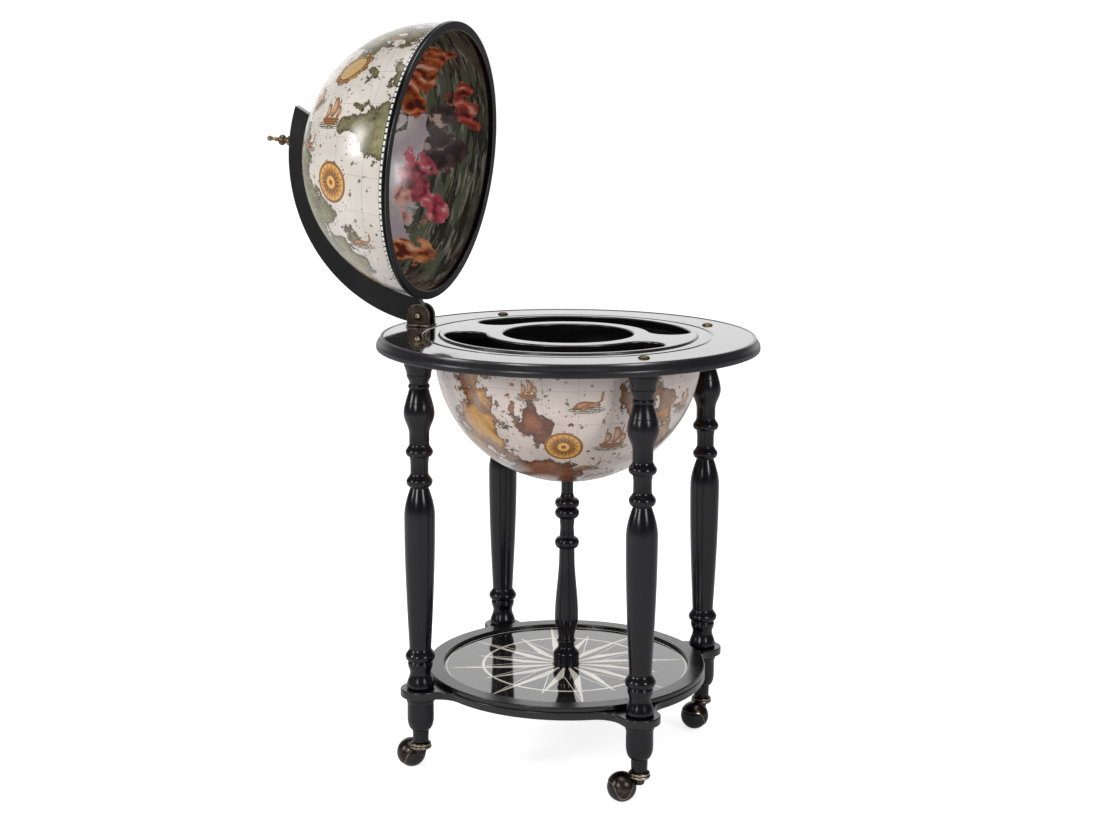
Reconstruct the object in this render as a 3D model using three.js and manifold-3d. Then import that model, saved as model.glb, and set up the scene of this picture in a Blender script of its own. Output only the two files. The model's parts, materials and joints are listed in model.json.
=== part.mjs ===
// Floor globe bar: a globe on a four-legged turned stand with a tray and ball casters.
// Millimetres, Z up. The front is at -Y. The upper half of the globe is a lid on an arm that is
// hinged behind the globe, and it stands open here, as it does in use.

import * as THREE from 'three';
import { mergeVertices, toCreasedNormals } from 'three/addons/utils/BufferGeometryUtils.js';
import Module from 'manifold-3d';

const wasm = await Module();
wasm.setup();

// Clearances
const gap = 0.3; // between two pieces that touch
const overrun = 4; // how far a cutter passes the face that it cuts

// Globe: the bowl is its lower half, the dome its upper half
const globeRadius = 165;
const shellWall = 4;
const bowlDrop = 1.7; // centre of the bowl below the ring's underside
const bowlPad = 12; // flat at the bottom of the bowl
const shelfShare = 0.606; // top of the shelf below the bowl's centre, as a share of its radius
const shelfThick = 8;
const domeOversize = 5.5; // dome radius over bowl radius
const domePad = 10; // flats at the pole of the dome
const domeRimDrop = 3; // straight rim below the dome's centre
const lipOverhang = 3.2; // black lip outside the dome
const lipInset = 3.8; // black lip inside the dome
const lipFloor = 3.1; // lip under the dome's rim
const lipBand = 6.2; // height of the lip outside
const lipTongue = 8.4; // height of the lip inside
const lipTaper = 0.4; // draws in the top of the tongue
const lipRound = 1;
const lidSeat = 0.6; // closed lip above the table ring

// Table ring
const tableThick = 15;
const ledgeInset = 10.8; // opening of the ring inside the globe's radius
const ledgeWidth = 5.6; // ledge that carries the holder plate
const ledgeDepth = 8;
const rimGrooveDepth = 3; // groove under the ring for the bowl's rim
const seatMargin = 1.3; // flat band beyond the closed lip
const seatGrooveWidth = 5;
const seatGrooveDepth = 1.5;
const legOffset = 32.5; // leg axes outside the globe's radius
const tableMargin = 38.5; // widest edge outside the leg axes
const edgeWidth = 5; // moulded edge
const edgeBeadWidth = 4;
const edgeBeadHeight = 0.8;

// Holder plate
const plateRise = 2; // top of the plate over the ring
const plateRound = 1.5;
const holeBevel = 1.8;
const slotMargin = 1.4; // slot inside the ring's opening
const holeShare = 0.522; // radius of the round hole as a share of the opening's
const slotShare = 0.336; // width of a slot as a share of the opening's radius
const slotReach = 63.5; // degrees from the slot's middle to the centre of its round end

// Legs, their screws and the bolts that join them to the feet
const legHeight = 407.4;
const legRadius = 18.6;
const legAngles = [-135, -45, 45, 135]; // degrees
const footHeight = 58.4;
const footRadius = 17.8;
const boltRadius = 4;
const boltInLeg = 24;
const boltInFoot = 22;
const screwRadius = 2.5;
const screwGrip = 28;
const screwHead = 7;
const screwHeadHeight = 2.6;

// Tray
const baseThick = 9.8;
const trayInset = 23; // edge of the tray inside the leg axes
const earRadius = 24.5;
const earFillet = 30;
const trayRingWidth = 20.5;
const trayRingHeight = 6.1;
const trayRingRound = 1.6;
const panelThick = 2;

// Centre spindle
const spindleRadius = 16.3;

// Hinge
const hingeMargin = 23.3; // pin behind the closed lip
const pinRise = 14; // pin over the table ring
const pinRadius = 3;
const pinHead = 5;
const pinHeadHeight = 2;
const openAngle = 84.3; // degrees from closed to open
const bracketDepth = 30.6;
const bracketFloor = 2.9;
const flangeWidth = 1.2;
const flangeHeight = 2.5;
const earThick = 3.6;
const earClear = 0.8;
const bracketScrewSpacing = 19;
const bracketScrewRadius = 1.7;
const bracketScrewHead = 3.1;
const bracketScrewCone = 1.6;
const bracketScrewGrip = 11;

// Lid arm and what holds the dome at its pole
const armThick = 12.2;
const armClear = 1.9; // arm outside the lip
const armHeel = 4; // inner corner of the arm's foot over the pin
const armPast = 13.3; // degrees that the arm runs past the pole
const armFlat = 9; // half of the flats on the arm at the pole
const heelTurn = 150; // degrees of the round heel below the pin
const poleBoltRadius = 3;
const spacerRadius = 8;
const washerRadius = 9;
const washerThick = 1.5;
const nutRadius = 6.5;
const nutThick = 5;
const boltTail = 1.6; // bolt past the nut
const finialRadius = 6.75;
const finialHeight = 26.9;

// Casters: a ball that is half hood and half wheel, on an inclined axle
const ballRadius = 17.5;
const ballOffset = 20.3; // ball behind the stem
const ballTilt = 37; // degrees that the axle points down
const seamOffset = 1.5; // seam on the hood's side of the ball's centre
const hornRadius = 6.8;
const hornHeight = 9.5;
const stemRadius = 4;
const stemInFoot = 20;
const stemInHorn = 5;
const collarSink = 5.2; // underside of the collar below the top of the ball
const lowerCollar = 13.2;
const upperCollar = 12.6;
const collarTier = 3.6;
const collarStep = 0.2;
const axleRadius = 2.5;
const axleInHood = 12; // axle bores, from the ball's centre
const axleInWheel = 8;
const casterTurns = [108.3, 169.9, 20, 57.5]; // degrees, in the order of the legs

// Faces per turn
const roundSides = 32;
const legSides = 10;
const footSides = 10;
const spindleSides = 10;
const smallSides = 8;
const casterSides = 10;
const nutSides = 6;
const shellSteps = 6;
const slotSteps = { outer: 10, round: 5, inner: 8 };
const earSteps = { fillet: 3, ear: 9, disc: 6 };
const armSteps = 9;
const runSteps = { line: 1, ease: 3, bead: 4, swell: 2 };

// Turned outlines, from the bottom up. Each row is how the outline runs to its point, the point's
// height as a share of the piece's height, its radius as a share of the piece's radius and, on a
// bead, the radius of the bead as such a share.
const legShares = [
  ['line', 0, 0.86],
  ['line', 0.014, 0.88],
  ['line', 0.048, 0.69],
  ['line', 0.074, 0.82],
  ['line', 0.084, 0.73],
  ['bead', 0.116, 0.715, 0.98],
  ['swell', 0.53, 1],
  ['ease', 0.602, 0.62],
  ['line', 0.62, 0.6],
  ['bead', 0.644, 0.6, 0.85],
  ['line', 0.675, 0.57],
  ['line', 0.708, 0.62],
  ['bead', 0.731, 0.65, 0.89],
  ['line', 0.765, 0.64],
  ['ease', 0.833, 1],
  ['ease', 0.906, 0.63],
  ['line', 0.912, 0.68],
  ['line', 0.92, 0.63],
  ['line', 0.948, 0.79],
  ['line', 0.984, 0.97],
  ['line', 1, 0.97],
];
const footShares = [
  ['line', 0, 0.54],
  ['line', 0.28, 0.56],
  ['ease', 0.55, 0.91],
  ['line', 0.85, 0.91],
  ['line', 0.94, 1],
  ['line', 1, 0.97],
];
const spindleShares = [
  ['line', 0, 1],
  ['line', 0.069, 1],
  ['ease', 0.109, 0.63],
  ['line', 0.132, 0.62],
  ['line', 0.139, 0.7],
  ['line', 0.146, 0.61],
  ['line', 0.17, 0.61],
  ['ease', 0.259, 0.91],
  ['ease', 0.607, 0.6],
  ['bead', 0.693, 0.58, 0.93],
  ['line', 0.738, 0.53],
  ['line', 0.792, 0.58],
  ['bead', 0.848, 0.6, 0.93],
  ['bead', 0.901, 0.54, 0.94],
  ['line', 0.931, 0.46],
  ['line', 1, 0.46],
];
const finialShares = [
  ['line', 0, 0.93],
  ['line', 0.055, 0.93],
  ['line', 0.075, 0.8],
  ['line', 0.1, 0.41],
  ['bead', 0.36, 0.44, 1],
  ['line', 0.4, 0.4],
  ['line', 0.7, 0.34],
  ['line', 0.77, 0.3],
  ['bead', 1, 0, 0.52],
];

// Moulded edge of the table ring, from the raised bead out and down: shares of the edge's width
// and of the ring's thickness.
const edgeShares = [
  [0.25, 0.3],
  [0.62, 0.6],
  [1, 0.72],
  [1, 0.88],
  [0.5, 1],
];
const beadShares = [
  [0.3, 1],
  [0.7, 1],
];
const grooveShares = [0.5];

// Outline of a domed screw head: shares of its radius and of its height
const domeShares = [
  [1, 0.2],
  [0.6, 0.82],
  [0, 1],
];

// Outline of the horn under a caster's collar: shares of its radius and of its height
const hornShares = [
  [0, 0],
  [0.65, 0.09],
  [0.93, 0.32],
  [1, 0.65],
  [1, 1],
];

// Colours and surfaces
const creaseAngle = 35; // degrees
const blackLacquer = { color: 0x0d0a0a, roughness: 0.14, metalness: 0 };
const tableLacquer = { color: 0x141213, roughness: 0.07, metalness: 0 };
const satinBlack = { color: 0x151312, roughness: 0.42, metalness: 0 };
const panelBlack = { color: 0x1b1a1b, roughness: 0.2, metalness: 0 };
const domePaper = { color: 0xcfc69a, roughness: 0.35, metalness: 0 };
const bowlPaper = { color: 0xd2b47c, roughness: 0.32, metalness: 0 };
const bronze = { color: 0x6b5433, roughness: 0.42, metalness: 0.9 };
const brass = { color: 0xa88a4e, roughness: 0.3, metalness: 1 };
const steel = { color: 0x77736d, roughness: 0.45, metalness: 0.9 };

// Sizes that follow from the values above
const tau = Math.PI * 2;
const poleAngle = Math.PI / 2;
const bowlInner = globeRadius - shellWall;
const domeRadius = globeRadius + domeOversize;
const domeInner = domeRadius - shellWall;
const domePadHeight = Math.sqrt(domeRadius ** 2 - domePad ** 2);
const domePadInside = Math.sqrt(domeInner ** 2 - domePad ** 2);
const lipOuter = domeRadius + lipOverhang;
const lipInner = domeInner - lipInset;
const lipDrop = domeRimDrop + gap + lipFloor;
const tableBore = globeRadius - ledgeInset;
const ledgeRadius = tableBore + ledgeWidth;
const centreHole = holeShare * tableBore;
const slotWidth = slotShare * tableBore;
const shelfDrop = shelfShare * globeRadius;
const legCircle = globeRadius + legOffset;
const tableRadius = legCircle + tableMargin;
const trayRadius = legCircle - trayInset;
const trayInner = trayRadius - trayRingWidth;
const boltBore = boltRadius + gap;
const screwBore = screwRadius + gap;
const stemBore = stemRadius + gap;
const pinBore = pinRadius + gap;
const poleBore = poleBoltRadius + gap;
const axleBore = axleRadius + gap;

// Levels, from the floor up
const collarBottom = 2 * ballRadius - collarSink;
const collarTop = collarBottom + 2 * collarTier + collarStep;
const footBottom = collarTop + gap;
const footTop = footBottom + footHeight;
const baseBottom = footTop + gap;
const baseTop = baseBottom + baseThick;
const legBottom = baseTop + gap;
const legTop = legBottom + legHeight;
const tableBottom = legTop + gap;
const tableTop = tableBottom + tableThick;
const bowlCentre = tableBottom - bowlDrop;
const bowlBottom = bowlCentre - Math.sqrt(globeRadius ** 2 - bowlPad ** 2);
const bowlFloor = bowlCentre - Math.sqrt(bowlInner ** 2 - bowlPad ** 2);
const panelBottom = baseTop + gap;
const spindleBottom = baseTop + gap;
const spindleHeight = bowlBottom - gap - spindleBottom;

// Lid, seen closed: its centre from the pin, and the arm about that centre
const hingeReach = lipOuter + hingeMargin;
const lidDrop = pinRise - lidSeat - lipDrop;
const pinDistance = Math.hypot(hingeReach, lidDrop);
const pinAngle = Math.atan2(lidDrop, hingeReach);
const heelRadius = pinRise - bracketFloor - 2 * gap;
const armOuter = pinDistance + heelRadius;
const armInner = lipOuter + armClear;
const armOuterFlat = Math.sqrt(armOuter ** 2 - armFlat ** 2);
const armInnerFlat = Math.sqrt(armInner ** 2 - armFlat ** 2);
const finialSeat = armOuterFlat + gap;
const finialTip = finialSeat + finialHeight;
const openTurn = THREE.MathUtils.degToRad(openAngle);
const tipReach = hingeReach * (1 - Math.cos(openTurn)) + (finialTip - lidDrop) * Math.sin(openTurn);

function at(radius, height) {
  return new THREE.Vector2(radius, height);
}

// Points on an arc, both ends included, with angles in radians
function arc(centre, radius, from, to, steps) {
  const points = [];
  for (let step = 0; step <= steps; step += 1) {
    const angle = from + (to - from) * step / steps;
    points.push(at(centre.x + radius * Math.cos(angle), centre.y + radius * Math.sin(angle)));
  }
  return points;
}

// Outline of a turned piece from one of the tables above
function turning(shares, radius, height) {
  const points = [];
  let last = at(0, 0);
  for (const [run, heightShare, radiusShare, bulgeShare] of shares) {
    const next = at(radiusShare * radius, heightShare * height);
    const steps = runSteps[run];
    for (let step = 1; step <= steps; step += 1) {
      const even = step / steps;
      const eased = (1 - Math.cos(Math.PI * even)) / 2;
      const swollen = Math.sin(poleAngle * even);
      const radial = { line: even, ease: eased, bead: eased, swell: swollen }[run];
      const upward = run === 'bead' ? eased : even;
      const point = at(
        THREE.MathUtils.lerp(last.x, next.x, radial),
        THREE.MathUtils.lerp(last.y, next.y, upward),
      );
      if (run === 'bead') point.x += (bulgeShare * radius - point.x) * Math.sin(Math.PI * even);
      points.push(point);
    }
    last = next;
  }
  return points;
}

// Adds a blind hole on the axis at the bottom and at the top of a turned outline
function bored(outline, height, bottom, top) {
  return [
    at(0, bottom.depth),
    at(bottom.radius, bottom.depth),
    at(bottom.radius, 0),
    ...outline,
    at(top.radius, height),
    at(top.radius, height - top.depth),
    at(0, height - top.depth),
  ];
}

// Joins shared corners, drops empty faces and turns the faces outwards
function closed(geometry) {
  const bare = geometry.clone();
  bare.deleteAttribute('normal');
  bare.deleteAttribute('uv');
  const merged = mergeVertices(bare);
  const place = merged.getAttribute('position');
  const corners = [new THREE.Vector3(), new THREE.Vector3(), new THREE.Vector3()];
  const faces = [];
  let volume = 0;
  for (let start = 0; start < merged.index.count; start += 3) {
    const face = [0, 1, 2].map((corner) => merged.index.getX(start + corner));
    if (new Set(face).size < 3) continue;
    corners.forEach((corner, order) => corner.fromBufferAttribute(place, face[order]));
    volume += corners[0].dot(corners[1].cross(corners[2]));
    faces.push(face);
  }
  merged.setIndex(faces.flatMap((face) => (volume < 0 ? face.reverse() : face)));
  return merged;
}

function toSolid(geometry) {
  const shape = closed(geometry);
  return new wasm.Manifold(new wasm.Mesh({
    numProp: 3,
    vertProperties: shape.getAttribute('position').array,
    triVerts: new Uint32Array(shape.index.array),
  }));
}

function toGeometry(solid) {
  const mesh = solid.getMesh();
  const geometry = new THREE.BufferGeometry();
  geometry.setAttribute('position', new THREE.BufferAttribute(mesh.vertProperties, 3));
  geometry.setIndex(new THREE.BufferAttribute(mesh.triVerts, 1));
  return geometry;
}

function cut(body, tools) {
  return toGeometry(tools.reduce((solid, tool) => solid.subtract(toSolid(tool)), toSolid(body)));
}

function join(bodies) {
  return toGeometry(bodies.map(toSolid).reduce((solid, body) => solid.add(body)));
}

// Turns an outline about Z
function turned(outline, sides) {
  return new THREE.LatheGeometry(outline, sides).rotateX(poleAngle);
}

// Turns an outline that goes round a ring's section
function turnedRing(outline, sides) {
  return turned([...outline, outline[0].clone()], sides);
}

function rod(radius, length, sides) {
  return turned([at(0, 0), at(radius, 0), at(radius, length), at(0, length)], sides);
}

function tube(inner, outer, length, sides) {
  return turnedRing([at(inner, 0), at(outer, 0), at(outer, length), at(inner, length)], sides);
}

// A screw with a domed head, its seat at height zero and its shank below
function screw(radius, length) {
  return turned([
    at(0, -length),
    at(radius, -length),
    at(radius, 0),
    at(screwHead, 0),
    ...domeShares.map(([out, up]) => at(out * screwHead, up * screwHeadHeight)),
  ], smallSides);
}

// Extrudes an outline drawn in Y and Z along X, to both sides of the middle
function sideways(points, thickness) {
  const toX = new THREE.Matrix4().makeBasis(
    new THREE.Vector3(0, 1, 0),
    new THREE.Vector3(0, 0, 1),
    new THREE.Vector3(1, 0, 0),
  );
  return new THREE.ExtrudeGeometry(new THREE.Shape(points), { depth: thickness, bevelEnabled: false })
    .translate(0, 0, -thickness / 2).applyMatrix4(toX);
}

// Outline of half a globe with its pole at the top: a pad with a hole at the pole and a straight
// rim below the centre. The breaks are angles that the inside keeps as corners.
function shellOutline(radius, pad, hole, rimDrop, breaks, steps) {
  const inner = radius - shellWall;
  const centre = at(0, 0);
  const outside = arc(centre, radius, 0, Math.acos(pad / radius), shellSteps);
  const angles = [0, ...breaks, Math.acos(pad / inner)];
  const inside = steps.flatMap((count, part) => (
    arc(centre, inner, angles[part], angles[part + 1], count).slice(1)
  ));
  return [
    at(inner, -rimDrop),
    at(radius, -rimDrop),
    ...outside,
    at(hole, outside.at(-1).y),
    at(hole, inside.at(-1).y),
    ...inside.reverse(),
    at(inner, 0),
  ];
}

function mesh(name, geometry, finish) {
  const shape = toCreasedNormals(closed(geometry), THREE.MathUtils.degToRad(creaseAngle));
  const result = new THREE.Mesh(shape, new THREE.MeshStandardMaterial(finish));
  result.name = name;
  return result;
}

// Adds pieces to a group and returns the group
function gather(pieces) {
  const group = new THREE.Group();
  group.add(...pieces);
  return group;
}

// Puts a piece or a group at a place
function place(object, x, y, z) {
  object.position.set(x, y, z);
  return object;
}

const legPlaces = legAngles.map((angle) => {
  const turn = THREE.MathUtils.degToRad(angle);
  return at(legCircle * Math.cos(turn), legCircle * Math.sin(turn));
});

function tableRing() {
  const edgeInner = tableRadius - edgeWidth;
  const beadInner = edgeInner - edgeBeadWidth;
  const grooveInner = lipOuter + seatMargin;
  const section = [
    at(tableBore, -tableThick),
    at(tableBore, -ledgeDepth),
    at(ledgeRadius, -ledgeDepth),
    at(ledgeRadius, 0),
    at(grooveInner, 0),
    ...grooveShares.map((share) => at(grooveInner + share * seatGrooveWidth, -seatGrooveDepth)),
    at(grooveInner + seatGrooveWidth, 0),
    at(beadInner, 0),
    ...beadShares.map(([out, up]) => at(beadInner + out * edgeBeadWidth, up * edgeBeadHeight)),
    at(edgeInner, 0),
    ...edgeShares.map(([out, down]) => at(edgeInner + out * edgeWidth, -down * tableThick)),
    at(globeRadius + gap, -tableThick),
    at(globeRadius + gap, rimGrooveDepth - tableThick),
    at(bowlInner - gap, rimGrooveDepth - tableThick),
    at(bowlInner - gap, -tableThick),
  ];
  const legHoles = legPlaces.map((spot) => rod(screwBore, tableThick + 2 * overrun, smallSides)
    .translate(spot.x, spot.y, -tableThick - overrun));
  const hingeBore = bracketScrewRadius + gap;
  const hingeHoles = bracketScrewPlaces().map((along) => (
    rod(hingeBore, bracketScrewGrip + overrun, smallSides)
      .translate(0, hingeReach + along, -bracketScrewGrip)
  ));
  const ring = cut(turnedRing(section, roundSides), [...legHoles, ...hingeHoles]);
  return mesh('table_ring', ring, tableLacquer);
}

function slotCutter(middle) {
  const outer = tableBore - slotMargin;
  const inner = outer - slotWidth;
  const reach = THREE.MathUtils.degToRad(slotReach);
  const [first, last] = [middle - reach, middle + reach];
  const round = slotWidth / 2;
  const endAt = (angle) => at((inner + round) * Math.cos(angle), (inner + round) * Math.sin(angle));
  const centre = at(0, 0);
  const outline = new THREE.Shape([
    ...arc(centre, outer, first, last, slotSteps.outer),
    ...arc(endAt(last), round, last, last + Math.PI, slotSteps.round).slice(1, -1),
    ...arc(centre, inner, last, first, slotSteps.inner),
    ...arc(endAt(first), round, first - Math.PI, first, slotSteps.round).slice(1, -1),
  ]);
  const through = { depth: ledgeDepth + plateRise + 2 * overrun, bevelEnabled: false };
  const bevel = { depth: overrun, bevelThickness: holeBevel, bevelSize: holeBevel, bevelSegments: 1 };
  return [
    new THREE.ExtrudeGeometry(outline, through).translate(0, 0, -ledgeDepth - overrun),
    new THREE.ExtrudeGeometry(outline, bevel).translate(0, 0, plateRise),
  ];
}

function holderPlate() {
  const radius = ledgeRadius - gap;
  const bottom = gap - ledgeDepth;
  const section = [
    at(centreHole, bottom),
    at(radius, bottom),
    ...arc(at(radius - plateRound, plateRise - plateRound), plateRound, 0, poleAngle, 2),
    at(centreHole + holeBevel, plateRise),
    at(centreHole, plateRise - holeBevel),
  ];
  const slots = [...slotCutter(0), ...slotCutter(Math.PI)];
  return mesh('holder_plate', cut(turnedRing(section, roundSides), slots), tableLacquer);
}

function bowlAndShelf() {
  const rimRise = bowlDrop + rimGrooveDepth - gap;
  const [upper, lower] = [shelfDrop, shelfDrop + shelfThick];
  const breaks = [Math.asin(upper / bowlInner), Math.asin(lower / bowlInner)];
  const outline = shellOutline(globeRadius, bowlPad, screwBore, rimRise, breaks, [2, 1, 2]);
  const bowl = mesh('bowl', turned([...outline, outline[0].clone()], roundSides), bowlPaper);
  bowl.rotation.x = Math.PI;
  const seat = (drop) => Math.sqrt(bowlInner ** 2 - drop ** 2) - gap;
  const board = turned([
    at(0, -lower),
    at(seat(lower), -lower),
    at(seat(upper), -upper),
    at(0, -upper),
  ], roundSides);
  return place(gather([bowl, mesh('bowl_shelf', board, satinBlack)]), 0, 0, bowlCentre);
}

function caster(name, angle) {
  const centre = at(0, 0);
  const tilt = poleAngle + THREE.MathUtils.degToRad(ballTilt);
  const seam = -seamOffset;
  const hoodEdge = seam - gap;
  const toBall = (geometry) => geometry.rotateX(tilt).translate(ballOffset, 0, ballRadius);

  // The stem, with its collar, turns in the foot and is held in the horn of the hood.
  const stem = turned([
    at(0, collarBottom - stemInHorn + gap),
    at(stemRadius, collarBottom - stemInHorn + gap),
    at(stemRadius, collarBottom),
    at(lowerCollar, collarBottom),
    at(lowerCollar, collarBottom + collarTier),
    at(upperCollar, collarTop - collarTier),
    at(upperCollar, collarTop),
    at(stemRadius, collarTop),
    at(stemRadius, footBottom + stemInFoot - gap),
    at(0, footBottom + stemInFoot - gap),
  ], casterSides);

  // The hood is the upper part of the ball, with a bore for the axle and a horn for the stem.
  const cap = toBall(turned([
    ...arc(centre, ballRadius, -poleAngle, Math.asin(hoodEdge / ballRadius), 4),
    at(axleBore, hoodEdge),
    at(axleBore, -axleInHood),
    at(0, -axleInHood),
  ], casterSides));
  const hornTop = collarBottom - gap;
  const horn = turned([
    ...hornShares.map(([out, up]) => at(out * hornRadius, hornTop - hornHeight + up * hornHeight)),
    at(stemBore, hornTop),
    at(stemBore, hornTop - stemInHorn),
    at(0, hornTop - stemInHorn),
  ], casterSides);
  const roomRadius = (ballRadius + gap) / Math.cos(Math.PI / casterSides);
  const wheelRoom = toBall(turned([
    at(0, hoodEdge),
    ...arc(centre, roomRadius, Math.asin(hoodEdge / roomRadius), poleAngle, 4),
  ], casterSides));
  const collarRoom = rod(lowerCollar + gap, ballRadius, casterSides).translate(0, 0, hornTop);
  const hood = cut(join([cap, cut(horn, [wheelRoom])]), [collarRoom]);

  // The wheel is the other part of the ball. One corner of it stands on the floor.
  const contact = Math.asin(Math.cos(tilt - Math.PI));
  const wheel = turned([
    at(0, axleInWheel),
    at(axleBore, axleInWheel),
    at(axleBore, seam),
    ...arc(centre, ballRadius, Math.asin(seam / ballRadius), poleAngle - contact, 2),
    ...arc(centre, ballRadius, poleAngle - contact, poleAngle, 3).slice(1),
  ], casterSides);
  const axleLength = axleInHood + axleInWheel - 2 * gap;
  const axle = rod(axleRadius, axleLength, smallSides).translate(0, 0, gap - axleInHood);
  const ball = gather([mesh(`${name}_wheel`, wheel, bronze), mesh(`${name}_axle`, axle, steel)]);
  ball.rotation.x = tilt;
  place(ball, ballOffset, 0, ballRadius);

  const group = gather([mesh(`${name}_stem`, stem, brass), mesh(`${name}_hood`, hood, bronze), ball]);
  group.rotation.z = THREE.MathUtils.degToRad(angle);
  return group;
}

// One corner of the stand: leg, screw, bolt, foot and caster on one axis
function corner(letter, spot, angle) {
  const legOutline = bored(
    turning(legShares, legRadius, legHeight),
    legHeight,
    { radius: boltBore, depth: boltInLeg },
    { radius: screwBore, depth: screwGrip },
  );
  const footOutline = bored(
    turning(footShares, footRadius, footHeight),
    footHeight,
    { radius: stemBore, depth: stemInFoot },
    { radius: boltBore, depth: boltInFoot },
  );
  const boltBottom = footTop - boltInFoot + gap;
  const bolt = rod(boltRadius, legBottom + boltInLeg - gap - boltBottom, smallSides);
  const screwSeat = tableTop + gap;
  const legScrew = screw(screwRadius, screwSeat - legTop + screwGrip - gap);
  const pieces = [
    place(mesh(`leg_${letter}`, turned(legOutline, legSides), blackLacquer), 0, 0, legBottom),
    place(mesh(`leg_screw_${letter}`, legScrew, brass), 0, 0, screwSeat),
    place(mesh(`foot_${letter}`, turned(footOutline, footSides), blackLacquer), 0, 0, footBottom),
    place(mesh(`foot_bolt_${letter}`, bolt, steel), 0, 0, boltBottom),
    caster(`caster_${letter}`, angle),
  ];
  return place(gather(pieces), spot.x, spot.y, 0);
}

// Outline of the tray's base: a disc with a rounded ear under each leg and a fillet on both sides
function baseOutline() {
  const reach = trayRadius + earFillet;
  const span = earRadius + earFillet;
  const beside = Math.acos((reach ** 2 + legCircle ** 2 - span ** 2) / (2 * reach * legCircle));
  const turns = legAngles.map(THREE.MathUtils.degToRad);
  return turns.flatMap((turn, order) => {
    const ear = legPlaces[order];
    const before = at(reach * Math.cos(turn - beside), reach * Math.sin(turn - beside));
    const after = at(reach * Math.cos(turn + beside), reach * Math.sin(turn + beside));
    const leave = before.clone().sub(ear).angle();
    const arrive = after.clone().sub(ear).angle();
    const quarter = order + 1 < turns.length ? turns[order + 1] : turns[0] + tau;
    const around = (arrive - leave + tau) % tau;
    const inward = turn - beside + Math.PI;
    const bend = (leave + Math.PI - inward - tau) % tau;
    return [
      ...arc(before, earFillet, inward, inward + bend, earSteps.fillet).slice(0, -1),
      ...arc(ear, earRadius, leave, leave + around, earSteps.ear).slice(0, -1),
      ...arc(after, earFillet, arrive + Math.PI, arrive + Math.PI + bend, earSteps.fillet).slice(0, -1),
      ...arc(at(0, 0), trayRadius, turn + beside, quarter - beside, earSteps.disc).slice(0, -1),
    ];
  });
}

function tray() {
  const shape = new THREE.Shape(baseOutline());
  const hole = (spot, radius) => new THREE.Path(arc(spot, radius, tau, 0, smallSides).slice(1));
  shape.holes.push(...legPlaces.map((spot) => hole(spot, boltBore)), hole(at(0, 0), screwBore));
  const base = new THREE.ExtrudeGeometry(shape, { depth: baseThick, bevelEnabled: false });
  const ring = turnedRing([
    at(trayInner, 0),
    at(trayRadius, 0),
    ...arc(at(trayRadius - trayRingRound, trayRingHeight - trayRingRound), trayRingRound, 0, poleAngle, 2),
    at(trayInner + trayRingRound, trayRingHeight),
    at(trayInner, trayRingHeight - trayRingRound),
  ], roundSides);
  const panel = tube(spindleRadius + gap, trayInner - gap, panelThick, roundSides);
  return gather([
    place(mesh('tray_base', base, blackLacquer), 0, 0, baseBottom),
    place(mesh('tray_ring', ring, blackLacquer), 0, 0, baseTop + gap),
    place(mesh('tray_panel', panel, panelBlack), 0, 0, panelBottom),
  ]);
}

// The spindle between tray and bowl, with the screw that holds it at each end
function spindle() {
  const hole = { radius: screwBore, depth: screwGrip };
  const outline = bored(turning(spindleShares, spindleRadius, spindleHeight), spindleHeight, hole, hole);
  const bowlScrewSeat = bowlFloor + gap;
  const spindleTop = spindleBottom + spindleHeight;
  const bowlScrew = screw(screwRadius, bowlScrewSeat - spindleTop + screwGrip - gap);
  const trayScrewSeat = baseBottom - gap;
  const trayScrew = screw(screwRadius, spindleBottom + screwGrip - gap - trayScrewSeat);
  const lower = mesh('tray_screw', trayScrew, steel);
  lower.rotation.x = Math.PI;
  return gather([
    place(mesh('centre_spindle', turned(outline, spindleSides), blackLacquer), 0, 0, spindleBottom),
    place(mesh('bowl_screw', bowlScrew, brass), 0, 0, bowlScrewSeat),
    place(lower, 0, 0, trayScrewSeat),
  ]);
}

function bracketScrewPlaces() {
  return [-bracketScrewSpacing / 2, bracketScrewSpacing / 2];
}

// A countersunk screw about Z with its top at height zero, or the room for it
function countersunk(clear, over, length) {
  return turned([
    at(0, -length),
    at(bracketScrewRadius + clear, -length),
    at(bracketScrewRadius + clear, -bracketScrewCone),
    at(bracketScrewHead + clear, over),
    at(0, over),
  ], smallSides);
}

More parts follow.
